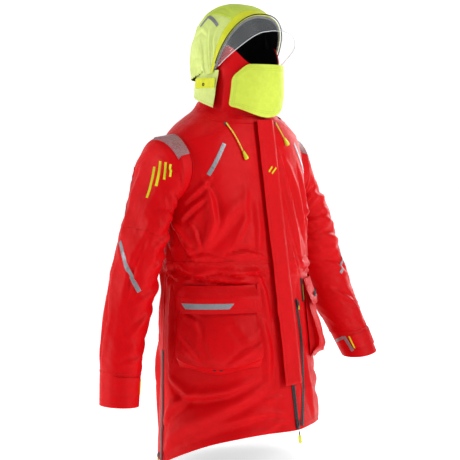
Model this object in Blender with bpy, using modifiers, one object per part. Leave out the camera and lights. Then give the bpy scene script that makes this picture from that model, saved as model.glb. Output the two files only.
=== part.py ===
"""Foul weather jacket: a long hooded offshore coat, held up in its worn shape.

The origin is the middle of the neck, level with the collar seam. +Z is up, the front
faces -Y and the wearer's left is +X. Every fabric piece is a thin closed shell, lofted
through sections of the worn shape, and its neighbours stand a small gap away from it.
"""

import math

import bmesh
import bpy
from mathutils import Matrix, Vector

# Driving dimensions, in metres.
GAP = 0.0005                 # between touching pieces
FABRIC = 0.002               # shell thickness
LINING = 0.0012
TRIM = 0.0008                # tapes and patches
HEM_FRONT = -0.730           # height of the hem at the zip
HEM_BACK = -0.808            # the tail is longer
SIDE_SEAM = math.radians(104)
ELBOW = 0.43                 # place of the elbow, as a share of the sleeve
SECTIONS = 14                # sections and points round a sleeve
AROUND = 16
FLAP_HALF = 0.031            # storm flap, half its width
FLAP_TOP = -0.006
FLAP_END = -0.624
FLAP_RISE = 0.0095           # outside of the storm flap above the front panels
ZIP_HALF = 0.0055            # zip tapes, half their closed width
FRONT_LINE = (0.0915, 0.1550)    # depth of the front at z = 0, and how much it grows for each metre down
ARMHOLE = (0.030, -0.122, 0.078, 0.084)      # middle y and z, half depth, half height


def front_depth(height):
    """The front falls in one straight line, so the zip and its slider run straight."""
    return FRONT_LINE[0] - FRONT_LINE[1] * height


# Body sections: height, half width, front depth, back depth, squareness.
BODY = (
    (0.045, 0.090, 0.0870, 0.091, 2.0),
    (0.020, 0.101, 0.0895, 0.110, 2.0),
    (0.000, 0.126, front_depth(0.000), 0.133, 2.0),
    (-0.020, 0.158, front_depth(-0.020), 0.145, 2.0),
    (-0.045, 0.184, front_depth(-0.045), 0.150, 2.05),
    (-0.075, 0.196, front_depth(-0.075), 0.150, 2.1),
    (-0.120, 0.201, front_depth(-0.120), 0.150, 2.2),
    (-0.200, 0.204, front_depth(-0.200), 0.150, 2.1),
    (-0.300, 0.206, front_depth(-0.300), 0.150, 2.0),
    (-0.360, 0.206, front_depth(-0.360), 0.150, 1.9),
    (-0.450, 0.213, front_depth(-0.450), 0.156, 1.8),
    (-0.600, 0.221, front_depth(-0.600), 0.161, 1.72),
    (-0.720, 0.226, front_depth(-0.720), 0.162, 1.66),
    (-0.830, 0.229, front_depth(-0.830), 0.163, 1.66),
)

# Collar sections: height, half width, front depth, back depth, squareness.
COLLAR = (
    (0.000, 0.1000, 0.089, 0.094, 2.0),
    (0.040, 0.0905, 0.096, 0.084, 2.1),
    (0.080, 0.0860, 0.104, 0.079, 2.2),
    (0.125, 0.0850, 0.110, 0.078, 2.2),
    (0.175, 0.0860, 0.114, 0.078, 2.2),
)

# Sleeve sections: outer rail, inner rail, half depth. The first section lies on the armhole.
SLEEVE_RIGHT = (
    ((-0.218, 0.034, -0.046), (-0.2085, 0.032, -0.210), 0.080),
    ((-0.237, 0.036, -0.078), (-0.214, 0.034, -0.220), 0.078),
    ((-0.254, 0.038, -0.130), (-0.219, 0.036, -0.242), 0.073),
    ((-0.292, 0.043, -0.225), (-0.222, 0.036, -0.286), 0.066),
    ((-0.336, 0.047, -0.345), (-0.240, 0.036, -0.375), 0.060),
    ((-0.366, 0.044, -0.450), (-0.269, 0.032, -0.470), 0.056),
    ((-0.388, 0.034, -0.550), (-0.297, 0.020, -0.562), 0.051),
    ((-0.404, 0.020, -0.646), (-0.316, 0.006, -0.652), 0.047),
)
SLEEVE_LEFT = (
    ((0.218, 0.034, -0.046), (0.2085, 0.032, -0.210), 0.080),
    ((0.240, 0.036, -0.078), (0.214, 0.034, -0.220), 0.078),
    ((0.270, 0.036, -0.130), (0.220, 0.034, -0.242), 0.074),
    ((0.327, 0.034, -0.222), (0.230, 0.020, -0.280), 0.067),
    ((0.369, 0.026, -0.335), (0.260, 0.000, -0.372), 0.060),
    ((0.382, 0.004, -0.430), (0.285, -0.030, -0.458), 0.055),
    ((0.394, -0.034, -0.515), (0.303, -0.072, -0.532), 0.050),
    ((0.400, -0.076, -0.594), (0.313, -0.116, -0.608), 0.045),
)

COLOURS = {
    "red": ((0.72, 0.012, 0.012, 1), 0.55, 0.0),
    "neon": ((0.62, 0.84, 0.06, 1), 0.55, 0.0),
    "black": ((0.012, 0.012, 0.013, 1), 0.6, 0.0),
    "grey": ((0.42, 0.43, 0.45, 1), 0.3, 0.2),
    "clear": ((0.85, 0.9, 0.92, 0.3), 0.08, 0.0),
    "metal": ((0.25, 0.25, 0.26, 1), 0.35, 0.9),
    "mesh": ((0.45, 0.2, 0.22, 1), 0.6, 0.0),
}


# ---------------------------------------------------------------- numbers and surfaces


def through(table, key):
    """The row of a table of sections at that key, on a smooth curve through the rows."""
    rows = sorted(table)
    keys = [row[0] for row in rows]
    key = min(max(key, keys[0]), keys[-1])
    i = min(max(sum(k <= key for k in keys) - 1, 0), len(rows) - 2)

    def slope(j, column):
        low, high = max(j - 1, 0), min(j + 1, len(rows) - 1)
        return (rows[high][column] - rows[low][column]) / (keys[high] - keys[low])

    step = keys[i + 1] - keys[i]
    t = (key - keys[i]) / step
    found = []
    for column in range(1, len(rows[0])):
        a, b = rows[i][column], rows[i + 1][column]
        m, n = slope(i, column) * step, slope(i + 1, column) * step
        found.append(
            (2 * t**3 - 3 * t**2 + 1) * a
            + (t**3 - 2 * t**2 + t) * m
            + (3 * t**2 - 2 * t**3) * b
            + (t**3 - t**2) * n
        )
    return found


def ease(t):
    t = min(max(t, 0.0), 1.0)
    return t * t * (3 - 2 * t)


def ring_point(table, turn, height):
    """A point of a sectioned tube. turn is 0 at the front and grows towards the wearer's left."""
    half, front, back, square = through(table, height)
    s, c = math.sin(turn), math.cos(turn)
    power = 2 / square
    x = math.copysign(half * abs(s) ** power, s)
    y = -math.copysign((front if c > 0 else back) * abs(c) ** power, c)
    return Vector((x, y, height))


def ring_out(table, turn, height):
    """The outward normal there."""
    around = ring_point(table, turn + 0.01, height) - ring_point(table, turn - 0.01, height)
    along = ring_point(table, turn, height + 0.004) - ring_point(table, turn, height - 0.004)
    return around.cross(along).normalized()


def on_ring(table, turn, height, off=0.0):
    return ring_point(table, turn, height) + off * ring_out(table, turn, height)


def turn_at(table, x, height):
    """The turn on the front half at which the tube is x to the side."""
    half, _, _, square = through(table, height)
    share = min(abs(x) / half, 1.0)
    return math.copysign(math.asin(share ** (square / 2)), x)


def on_front(x, height, off=0.0):
    return on_ring(BODY, turn_at(BODY, x, height), height, off)


def hem(turn):
    return HEM_FRONT + (HEM_BACK - HEM_FRONT) * ease((1 - math.cos(turn)) / 1.25)


def neck(turn):
    """Height of the neck seam: it climbs from the throat to the nape."""
    return -0.004 + 0.044 * ease((1 - math.cos(turn)) / 1.9)


# ---------------------------------------------------------------- making objects


def collection_named(name):
    made = bpy.data.collections.new(name)
    bpy.context.scene.collection.children.link(made)
    return made


def material(name):
    made = bpy.data.materials.get(name)
    if made is None:
        colour, rough, metal = COLOURS[name]
        made = bpy.data.materials.new(name)
        made.use_nodes = True
        shader = made.node_tree.nodes["Principled BSDF"]
        shader.inputs["Base Color"].default_value = colour
        shader.inputs["Roughness"].default_value = rough
        shader.inputs["Metallic"].default_value = metal
    return made


def put(name, data, colour, where=None):
    obj = bpy.data.objects.new(name, data)
    (where or PARTS).objects.link(obj)
    obj.data.materials.append(material(colour))
    return obj


def loft(name, rows, colour, thick=FABRIC, closed=False, where=None):
    """A shell through rows of points, thickened inwards. Rows run so that faces point out."""
    across = len(rows[0])
    points = [tuple(p) for row in rows for p in row]
    faces = []
    for i in range(len(rows) - 1):
        for j in range(across if closed else across - 1):
            k = (j + 1) % across
            faces.append((i * across + j, (i + 1) * across + j, (i + 1) * across + k, i * across + k))
    mesh = bpy.data.meshes.new(name)
    mesh.from_pydata(points, [], faces)
    mesh.validate()
    obj = put(name, mesh, colour, where)
    mesh.shade_smooth()
    solid = obj.modifiers.new("thickness", "SOLIDIFY")
    solid.thickness = thick
    solid.offset = -1
    solid.use_even_offset = False
    return obj


def face_outwards(mesh):
    shape = bmesh.new()
    shape.from_mesh(mesh)
    bmesh.ops.recalc_face_normals(shape, faces=shape.faces)
    shape.to_mesh(mesh)
    shape.free()


def spread(low, high, count):
    return [low + (high - low) * i / (count - 1) for i in range(count)]


def box(name, size, place, colour, bevel=0.0008, turned=None):
    """A box with rounded edges. turned is a rotation matrix."""
    bpy.ops.mesh.primitive_cube_add(size=1)
    obj = bpy.context.object
    obj.name = obj.data.name = name
    for other in list(obj.users_collection):
        other.objects.unlink(obj)
    PARTS.objects.link(obj)
    obj.data.transform(Matrix.Diagonal((*size, 1)))
    obj.matrix_world = Matrix.Translation(place) @ (turned.to_4x4() if turned else Matrix())
    obj.data.materials.append(material(colour))
    if bevel:
        edge = obj.modifiers.new("edge", "BEVEL")
        edge.width = bevel
        edge.segments = 1
    return obj


def tube(name, points, radius, colour, sides=2):
    """A cord along points, as a bevelled poly curve with filled caps."""
    curve = bpy.data.curves.new(name, "CURVE")
    curve.dimensions = "3D"
    spline = curve.splines.new("POLY")
    spline.points.add(len(points) - 1)
    for target, point in zip(spline.points, points):
        target.co = (*point, 1)
    curve.bevel_depth = radius
    curve.bevel_resolution = sides
    curve.use_fill_caps = True
    return put(name, curve, colour)


def turned_shape(name, profile, place, axis, colour, steps=14):
    """A solid of revolution. The profile is (radius, height) pairs, from the top down."""
    mesh = bpy.data.meshes.new(name)
    points = [(radius, 0, height) for radius, height in profile]
    mesh.from_pydata(points, [(i, i + 1) for i in range(len(points) - 1)], [])
    obj = put(name, mesh, colour)
    screw = obj.modifiers.new("turn", "SCREW")
    screw.steps = screw.render_steps = steps
    screw.use_merge_vertices = True
    screw.merge_threshold = 0.00005
    up = Vector(axis).normalized()
    obj.matrix_world = Matrix.Translation(place) @ up.to_track_quat("Z", "Y").to_matrix().to_4x4()
    return obj


def smooth_route(knots, count):
    """count points on a smooth curve through a few chosen points."""
    table = [(float(i), *knot) for i, knot in enumerate(knots)]
    return [Vector(through(table, t)) for t in spread(0.0, len(knots) - 1.0, count)]


def frame_on(out, up=Vector((0, 0, 1))):
    """A rotation whose Z is the outward normal and whose Y runs up the surface."""
    z = out.normalized()
    x = up.cross(z).normalized()
    return Matrix((x, z.cross(x), z)).transposed()


# ---------------------------------------------------------------- body


def body_rows(turns, down, off=0.0, top=None, rise=0.0):
    """Rows of points on the body from the neck down to the hem, closer together at the shoulder."""
    rows = []
    for v in spread(0.0, 1.0, down):
        share = v**1.35
        row = []
        for turn in turns:
            start = neck(turn) if top is None else top
            row.append(on_ring(BODY, turn, start + (hem(turn) + rise - start) * share, off))
        rows.append(row)
    return rows


def armhole_cutter(rails, side, around=AROUND):
    """The sleeve's outside, a little larger and carried on into the body."""
    first = armhole_ring(side, around)
    middle = sum(first, Vector()) / around
    second = sleeve_ring(*list(rail_sections(rails, SECTIONS))[1], around)
    heart = sum(second, Vector()) / around
    grown = [
        [p + (p - middle).normalized() * 0.0022 for p in first],
        [p + (p - heart).normalized() * 0.0022 for p in second],
    ]
    inner = [p - Vector((side * 0.05, 0, 0)) for p in grown[0]]
    rows = [inner, *grown]
    points = [tuple(p) for row in rows for p in row]
    faces = [tuple(range(around)), tuple(reversed(range(2 * around, 3 * around)))]
    for i in range(2):
        for j in range(around):
            k = (j + 1) % around
            faces.append((i * around + j, (i + 1) * around + j, (i + 1) * around + k, i * around + k))
    mesh = bpy.data.meshes.new("armhole_cutter")
    mesh.from_pydata(points, [], faces)
    face_outwards(mesh)
    obj = bpy.data.objects.new("armhole_cutter", mesh)
    CUTTERS.objects.link(obj)
    obj.hide_render = True
    obj.display_type = "WIRE"
    return obj


def cut(obj, cutter):
    boolean = obj.modifiers.new("cut", "BOOLEAN")
    boolean.operation = "DIFFERENCE"
    boolean.object = cutter


def body_panels():
    edge = math.radians(0.6)
    seam = math.radians(0.45)
    fronts = {
        "front_panel_right": (-SIDE_SEAM + seam, -edge),
        "front_panel_left": (edge, SIDE_SEAM - seam),
    }
    right, left = armhole_cutter(SLEEVE_RIGHT, -1), armhole_cutter(SLEEVE_LEFT, 1)
    for name, (low, high) in fronts.items():
        obj = loft(name, body_rows(spread(low, high, 10), 16), "red")
        cut(obj, right if "right" in name else left)
    back = loft("back_panel", body_rows(spread(SIDE_SEAM, 2 * math.pi - SIDE_SEAM, 13), 16), "red")
    cut(back, right)
    cut(back, left)


def body_lining():
    """The lining hangs inside the body from below the armholes to just above the hem."""
    edge = math.radians(14)
    turns = spread(edge, 2 * math.pi - edge, 24)
    rows = body_rows(turns, 7, off=-FABRIC - 0.003, top=-0.235, rise=0.03)
    loft("body_lining", rows, "black", LINING)


# ---------------------------------------------------------------- sleeves


def rail_sections(rails, count):
    """count sections along the rails, as (outer, inner, half depth), evenly spread by row."""
    table = [(float(i), *outer, *inner, depth) for i, (outer, inner, depth) in enumerate(rails)]
    for t in spread(0.0, len(rails) - 1.0, count):
        row = through(table, t)
        yield Vector(row[0:3]), Vector(row[3:6]), row[6]


def sleeve_ring(outer, inner, depth, count, off=0.0):
    middle = (outer + inner) / 2
    u = (outer - inner) / 2
    v = Vector((0, 1, 0))
    v = (v - v.project(u)).normalized() * (depth + off)
    u = u.normalized() * (u.length + off)
    return [middle + u * math.cos(a) + v * math.sin(a) for a in spread(0, 2 * math.pi, count + 1)[:-1]]


def armhole_ring(side, count):
    """The sleeve's first ring, which lies on the body's side."""
    middle_y, middle_z, half_y, half_z = ARMHOLE
    points = []
    for a in spread(0, 2 * math.pi, count + 1)[:-1]:
        y = middle_y + half_y * math.sin(a)
        z = middle_z + half_z * math.cos(a)
        half, front, back, square = through(BODY, z)
        share = min(abs(y) / (front if y < 0 else back), 0.98)
        x = half * (1 - share**square) ** (1 / square)
        points.append(Vector((side * (x + 0.0012), y, z)))
    return points


def facing(rows, side):
    """Rows turned so that their faces point out on that side of the body."""
    return [list(reversed(row)) for row in rows] if side < 0 else rows


def sleeve(name, rails, side):
    """Upper and lower sleeve, and the lining inside the cuff."""
    sections = list(rail_sections(rails, SECTIONS))
    around = AROUND
    elbow = round(ELBOW * (SECTIONS - 1))
    upper = [armhole_ring(side, around)]
    upper += [sleeve_ring(*section, around) for section in sections[: elbow + 1]]
    lower = [sleeve_ring(*section, around) for section in sections[elbow:]]
    down = (sections[elbow + 1][0] - sections[elbow][0]).normalized()
    lower[0] = [p + down * GAP * 2 for p in lower[0]]
    loft(f"sleeve_{name}_upper", facing(upper, side), "red", closed=True)
    loft(f"sleeve_{name}_lower", facing(lower, side), "red", closed=True)
    lining = [
        sleeve_ring(outer, inner, depth, around, off=-FABRIC - 0.001)
        for outer, inner, depth in sections[9:]
    ]
    loft(f"cuff_lining_{name}", facing(lining, side), "black", LINING, closed=True)


def on_sleeve(rails, along, angle, off):
    """A point on a sleeve: along is 0 at the shoulder and 1 at the cuff, angle 0 on the outer rail."""
    table = [(float(i), *outer, *inner, depth) for i, (outer, inner, depth) in enumerate(rails)]
    row = through(table, along * (len(rails) - 1))
    outer, inner, depth = Vector(row[0:3]), Vector(row[3:6]), row[6] + off
    u = (outer - inner) / 2
    v = Vector((0, 1, 0))
    v = (v - v.project(u)).normalized() * depth
    return (outer + inner) / 2 + u.normalized() * (u.length + off) * math.cos(angle) + v * math.sin(angle)


def sleeve_patch(name, rails, side, start, end, half, colour, off, thick=TRIM, across=9, down=3):
    """A band on a sleeve, from start to end, each (along, angle in degrees), half wide along it."""
    rows = []
    for v in spread(-1, 1, down):
        row = []
        for t in spread(0, 1, across):
            along = start[0] + (end[0] - start[0]) * t + half * v
            angle = math.radians(start[1] + (end[1] - start[1]) * t)
            row.append(on_sleeve(rails, along, angle, off + thick))
        rows.append(row)
    return loft(name, facing(rows, -side), colour, thick)


def sleeve_trim(name, rails, side):
    """The cuff's adjuster tab, the reflective tape at the elbow and the patch on the shoulder."""
    free = -145 if side < 0 else -166
    sleeve_patch(f"cuff_tab_{name}", rails, side, (0.93, -40), (0.93, free), 0.032, "red", 0.0012, 0.0016)
    sleeve_patch(f"sleeve_tape_{name}", rails, side, (0.50, 14), (0.625, -72), 0.0085, "grey", 0.0016)
    rows = []
    for section in list(rail_sections(rails, SECTIONS))[0:3]:
        ring = sleeve_ring(*section, AROUND, 0.0020)
        rows.append([ring[i] for i in (1, 0, -1, -2, -3)])
    loft(f"shoulder_patch_{name}", facing(rows, -side), "mesh", TRIM)


# ---------------------------------------------------------------- collar, face guard and hood


def collar_top(turn):
    """Height of the collar's top edge: low at the chin and high at the cheek and the nape."""
    return 0.118 + 0.050 * ease((1 - math.cos(turn)) / 0.62)


def collar_rows(turns, down, off):
    rows = []
    for v in spread(1.0, 0.0, down):
        row = []
        for turn in turns:
            bottom = neck(turn) + 0.0045
            row.append(on_ring(COLLAR, turn, bottom + (collar_top(turn) - bottom) * v, off))
        rows.append(row)
    return rows


def collar():
    edge = math.radians(0.3)
    turns = spread(edge, 2 * math.pi - edge, 25)
    loft("collar", collar_rows(turns, 6, 0.0), "red")
    loft("collar_lining", collar_rows(turns, 6, -FABRIC - GAP), "black", LINING)


def hang_loop():
    """A tape loop at the nape, inside the collar, for a coat hook."""
    inner = through(COLLAR, 0.07)[2] - FABRIC - LINING - 0.0035
    half, tall, thick = 0.022, 0.014, 0.0018
    outline = ((-half, 0), (half, 0), (half, tall), (-half, tall))
    mesh = bpy.data.meshes.new("hang_loop")
    x, low, high = half - thick, thick, tall - thick
    inset = ((-x, low), (x, low), (x, high), (-x, high))
    points = [(x, 0, z) for x, z in outline + inset]
    faces = [(i, (i + 1) % 4, 4 + (i + 1) % 4, 4 + i) for i in range(4)]
    mesh.from_pydata(points, [], faces)
    obj = put("hang_loop", mesh, "black")
    solid = obj.modifiers.new("thickness", "SOLIDIFY")
    solid.thickness = 0.006
    solid.offset = -1
    obj.location = (0, inner - 0.010, 0.060)


FACE_GUARD = (
    (0.000, 0.1030, 0.105, 0.090, 2.1),
    (0.040, 0.0985, 0.116, 0.090, 2.2),
    (0.080, 0.0955, 0.124, 0.090, 2.2),
    (0.125, 0.0930, 0.125, 0.090, 2.2),
)


def face_guard():
    """The flap that closes over the chin. It is sewn on the wearer's left and grips on the right."""
    low, high = math.radians(-59), math.radians(64)
    rows = []
    for v in spread(1.0, 0.0, 6):
        row = []
        for turn in spread(low, high, 18):
            lean = ease(abs(turn) / high)
            top = 0.124 - 0.030 * ease((abs(turn) / high - 0.55) / 0.45)
            bottom = 0.001 + 0.026 * lean
            row.append(on_ring(FACE_GUARD, turn, bottom + (top - bottom) * v, 0))
        rows.append(row)
    loft("face_guard", rows, "neon")
    pad = []
    for v in spread(0.085, 0.035, 3):
        turns = spread(math.radians(-56), math.radians(-38), 5)
        pad.append([on_ring(COLLAR, turn, v, 0.0018) for turn in turns])
    loft("face_guard_hook", pad, "black", 0.0011)


# Hood sections from the face opening to the nape: place, crown y and z, side y and z, half width.
HOOD = (
    (0.00, -0.089, 0.241, -0.034, 0.136, 0.098),
    (0.20, -0.042, 0.267, -0.016, 0.140, 0.103),
    (0.40, 0.012, 0.274, 0.004, 0.141, 0.106),
    (0.60, 0.066, 0.251, 0.020, 0.138, 0.105),
    (0.80, 0.101, 0.194, 0.037, 0.130, 0.100),
    (1.00, 0.107, 0.106, 0.052, 0.112, 0.094),
)
BROW = 0.062                 # how far the clear visor reaches in front of the hood's edge


def hood_point(along, across, off=0.0):
    """A point of the hood. along runs from the face opening, 0, over the crown to the nape, 1,
    and across from the wearer's right edge, -1, over the top to the left edge, 1."""
    crown_y, crown_z, side_y, side_z, half = through(HOOD, along)
    swing = math.radians(104) * across
    share = math.copysign(abs(math.cos(swing)) ** 0.86, math.cos(swing))
    x = half * math.copysign(abs(math.sin(swing)) ** 0.86, across)
    place = Vector((x, side_y + (crown_y - side_y) * share, side_z + (crown_z - side_z) * share))
    if off:
        return place + off * hood_out(along, across)
    return place


def hood_out(along, across):
    low, high = max(along - 0.01, 0), min(along + 0.01, 1)
    back = hood_point(high, across) - hood_point(low, across)
    over = hood_point(along, across + 0.01) - hood_point(along, across - 0.01)
    return over.cross(back).normalized()


def hood_rows(off, first=0.0, side=1.0):
    return [[hood_point(a, c, off) for c in spread(-side, side, 19)] for a in spread(first, 1.0, 10)]


def hood_patch(name, corner, size, colour, off=0.0030, thick=TRIM, lean=0.0):
    """A patch on the hood from one (along, across) corner, slanting by lean along it."""
    rows = []
    for u in spread(0, 1, 3):
        row = []
        for v in spread(0, 1, 6):
            along = corner[0] + size[0] * u + lean * v
            row.append(hood_point(along, corner[1] + size[1] * v, off + thick))
        rows.append(row)
    return loft(name, rows, colour, thick)


def hood():
    loft("hood_shell", hood_rows(0.0), "neon")
    loft("hood_lining", hood_rows(-FABRIC - 0.0018, 0.03, 0.97), "black", LINING)
    edge = [hood_point(0.0, c, -0.0056) + Vector((0, -0.0012, 0)) for c in spread(-0.98, 0.98, 41)]
    tube("hood_elastic", edge, 0.0026, "grey", 1)
    hood_patch("hood_volume_tab", (0.66, -0.36), (0.13, 0.06), "neon", lean=0.03)


def hood_neck():
    """The hood's stand, which goes round the back of the collar and is sewn to the body."""
    turns = spread(math.radians(76), math.radians(284), 22)
    rows = []
    for v in spread(1.0, 0.0, 5):
        row = []
        for turn in turns:
            bottom = neck(turn) + 0.010
            row.append(on_ring(COLLAR, turn, bottom + (0.094 - bottom) * v, 0.0105 + 0.002 * (1 - v)))
        rows.append(row)
    loft("hood_neck", rows, "neon")
    tab = []
    for z in (0.092, 0.081, 0.070):
        turns = spread(math.radians(246), math.radians(282), 6)
        tab.append([on_ring(COLLAR, turn, z, 0.0105 + 0.0030) for turn in turns])
    loft("hood_adjuster_tab", tab, "neon", 0.0016)


def visor():
    """A clear brim sewn round the edge of the face opening."""
    rows = []
    for v in spread(0.0, 1.0, 4):
        row = []
        for c in spread(-0.93, 0.93, 21):
            start = hood_point(0.0, c, 0.0022) + Vector((0, -0.0005, 0))
            reach = BROW * (1 - abs(c / 0.96) ** 3.5) * v
            fall = 0.95 - 0.55 * abs(c)
            row.append(start + reach * Vector((0, -1, -fall)).normalized())
        rows.append(row)
    loft("hood_visor", rows[::-1], "clear", 0.0008)


# ---------------------------------------------------------------- front closure


def front_line(height, x=0.0, off=0.0):
    """A point in front of the zip line. off is along the zip line's own normal."""
    slope = FRONT_LINE[1]
    out = Vector((0, -1, slope)).normalized()
    return Vector((x, -front_depth(height), height)) + off * out


def strip(name, top, end, low_x, high_x, off, thick, colour, down=2):
    """A straight band in front of the zip line. off is to its outer face."""
    rows = [[front_line(z, low_x, off), front_line(z, high_x, off)] for z in spread(top, end, down)]
    return loft(name, rows, colour, thick)


def front_closure():
    bottom = HEM_FRONT + 0.003
    strip("front_zip_right", -0.010, bottom, -ZIP_HALF, -0.0004, 0.0020, 0.0014, "black")
    strip("front_zip_left", -0.010, bottom, 0.0004, ZIP_HALF, 0.0020, 0.0014, "black")
    strip("storm_flap", FLAP_TOP, FLAP_END, -FLAP_HALF, FLAP_HALF, FLAP_RISE, FABRIC, "red", 10)
    rows = []
    for z in spread(-0.012, HEM_FRONT + 0.02, 12):
        rows.append([on_front(x, z, -FABRIC - 0.001) for x in spread(-0.024, 0.024, 5)])
    loft("inner_flap", rows, "black", LINING)
    out = Vector((0, -1, FRONT_LINE[1])).normalized()
    turned = frame_on(out)
    place = front_line(HEM_FRONT + 0.014, 0, 0.0042)
    box("front_zip_slider", (0.010, 0.020, 0.0034), place, "metal", 0.0009, turned)
    hang = front_line(HEM_FRONT - 0.017, 0, 0.0046)
    box("front_zip_puller", (0.0085, 0.030, 0.0034), hang, "neon", 0.0014, turned)


# ---------------------------------------------------------------- trims on the body


# Where each drawcord leaves its grommet and lies on the chest: x and height.
DRAWCORDS = {
    "right": ((-0.102, -0.014), (-0.094, -0.036), (-0.085, -0.058), (-0.077, -0.078)),
    "left": ((0.039, -0.012), (0.048, -0.024), (0.057, -0.036), (0.064, -0.047)),
}


def ribbon(name, route, half, colour, off=GAP, thick=TRIM, steps=8):
    """A band along a route of (x, z) points on the front of the body."""
    knots = [(x, z, 0.0) for x, z in route]
    places = smooth_route(knots, steps)
    rows = []
    for i, place in enumerate(places):
        ahead = places[min(i + 1, steps - 1)] - places[max(i - 1, 0)]
        side = Vector((-ahead.y, ahead.x, 0)).normalized() * half
        rows.append([on_front(place.x + side.x * w, place.y + side.y * w, off + thick) for w in (-1, 0, 1)])
    return loft(name, rows, colour, thick)


def body_patch(name, turns, top, bottom, off, thick, colour, across=10, down=4):
    """A patch on the body between two turns, in degrees. top and bottom may depend on the turn."""
    rows = []
    for v in spread(0, 1, down):
        row = []
        for t in spread(0, 1, across):
            turn = math.radians(turns[0] + (turns[1] - turns[0]) * t)
            high = top(t) if callable(top) else top
            low = bottom(t) if callable(bottom) else bottom
            row.append(on_ring(BODY, turn, high + (low - high) * v, off + thick))
        rows.append(row)
    return loft(name, rows, colour, thick)


def pocket(name, side, inner, outer):
    """A bellows bag with an open top, its flap, the flap's tape and hook band, and the side slit's zip.
    inner and outer are the turns of its edges, in degrees."""
    low, high = (inner, outer) if side > 0 else (-outer, -inner)
    top, bottom = -0.402, -0.572
    across, down = 11, 8

    def depth(u, v):
        return 0.013 + 0.017 * ease(v * 1.25)

    rows = []
    for j in range(down + 2):
        v = min(j / down, 1.0)
        fold = -0.016 if j == down + 1 else 0
        row = []
        for i in range(-1, across + 1):
            u = min(max(i / (across - 1), 0), 1)
            turn = math.radians(low + (high - low) * u)
            inside = i in (-1, across) or j == down + 1
            off = 0.0035 if inside else depth(u, v)
            row.append(on_ring(BODY, turn, top + (bottom - top) * v + fold, off))
        rows.append(row)
    loft(f"pocket_bag_{name}", rows, "red", 0.0016)
    cut_corner = 0.10 if side < 0 else 0.90

    def flap_end(t):
        beyond = max(cut_corner - t, 0) if side < 0 else max(t - cut_corner, 0)
        return -0.450 + beyond * 0.16

    spare = 1.2
    flap = (low - spare, high + spare)
    body_patch(f"pocket_flap_{name}", flap, -0.388, flap_end, 0.0195, 0.0018, "red", 12, 5)
    middle, half = (low + high) / 2 + side * 6, 0.30 * (high - low)
    tape = (middle - half, middle + half)
    body_patch(f"pocket_tape_{name}", tape, -0.430, -0.441, 0.0195 + 0.0024, TRIM, "grey", 8, 2)
    body_patch(f"pocket_hook_{name}", (low + 8, high - 8), -0.422, -0.442, 0.0174, 0.0010, "black", 8, 2)
    edge = inner - 4.0
    turns = (edge - 1.2, edge + 1.2) if side > 0 else (-edge - 1.2, -edge + 1.2)
    body_patch(f"handwarmer_zip_{name}", turns, -0.384, -0.440, GAP, 0.0012, "black", 2, 3)


def gusset_zip():
    route = ((0.050, -0.430), (0.053, -0.520), (0.050, -0.600), (0.036, -0.665), (0.0175, -0.722))
    ribbon("gusset_zip", route, 0.0045, "black", GAP, 0.0014, steps=14)
    start = Vector((*route[0], 0))
    place = on_front(start.x, start.y - 0.012, GAP + 0.0014 + 0.0026)
    turned = frame_on(ring_out(BODY, turn_at(BODY, start.x, start.y - 0.012), start.y - 0.012))
    box("gusset_slider", (0.0085, 0.015, 0.0030), place, "metal", 0.0007, turned)


def side_zips():
    for name, side in (("right", -1), ("left", 1)):
        turn = side * SIDE_SEAM
        half = 1.5
        middle = math.degrees(turn)
        low_end = hem(turn) + 0.002
        turns = (middle - half, middle + half)
        body_patch(f"side_zip_{name}", turns, -0.545, low_end, GAP, 0.0014, "black", 2, 7)
        z = low_end + 0.014
        place = on_ring(BODY, turn, z, GAP + 0.0014 + 0.0030)
        turned = frame_on(ring_out(BODY, turn, z))
        box(f"side_slider_{name}", (0.0085, 0.016, 0.0032), place, "metal", 0.0007, turned)


def chest_trim(name, side):
    """Reflective tape, grommet, drawcord and toggle on one side of the chest."""
    lean = ((0.119, -0.060), (0.162, -0.132))
    ribbon(f"chest_tape_{name}", [(side * x, z) for x, z in lean], 0.0045, "grey", steps=5)
    route = DRAWCORDS[name]
    x, z = route[0]
    place = on_front(x, z, 0.0)
    out = ring_out(BODY, turn_at(BODY, x, z), z)
    rim = ((0, 0.0020), (0.0042, 0.0020), (0.0050, 0.0010), (0.0050, 0.0004), (0, 0.0004))
    turned_shape(f"cord_grommet_{name}", rim, place, out, "metal", 12)
    knots = [on_front(*point, 0.0044) for point in route]
    tube(f"drawcord_{name}", smooth_route(knots, 12), 0.0015, "neon", 2)
    ahead = (knots[3] - knots[2]).normalized()
    bell = ((0, 0.0), (0.0026, 0.0), (0.0034, -0.004), (0.0052, -0.017), (0.0040, -0.021), (0, -0.021))
    turned_shape(f"toggle_{name}", bell, knots[3] + ahead * 0.0009 + 0.0012 * out, -ahead, "neon", 12)


PARTS = None
CUTTERS = None


def main():
    global PARTS, CUTTERS
    for obj in list(bpy.data.objects):
        bpy.data.objects.remove(obj)
    PARTS = collection_named("foul_weather_jacket")
    CUTTERS = collection_named("cutters")
    body_panels()
    body_lining()
    for name, rails, side in (("right", SLEEVE_RIGHT, -1), ("left", SLEEVE_LEFT, 1)):
        sleeve(name, rails, side)
        sleeve_trim(name, rails, side)
        chest_trim(name, side)
    collar()
    hang_loop()
    face_guard()
    hood()
    hood_neck()
    visor()
    front_closure()
    gusset_zip()
    side_zips()
    pocket("right", -1, 25, 77)
    pocket("left", 1, 30, 84)


main()
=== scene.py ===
"""Looks of the foul weather jacket.

Every fabric piece is a thin folded shell on the same curves as its CAD solid, with its own
creases, seams, sewn threads and trims. Lengths are in metres, +Z is up, the front faces -Y.
"""

import math
from functools import partial

import bmesh
import bpy
import numpy as np
from mathutils import Matrix, Vector


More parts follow.
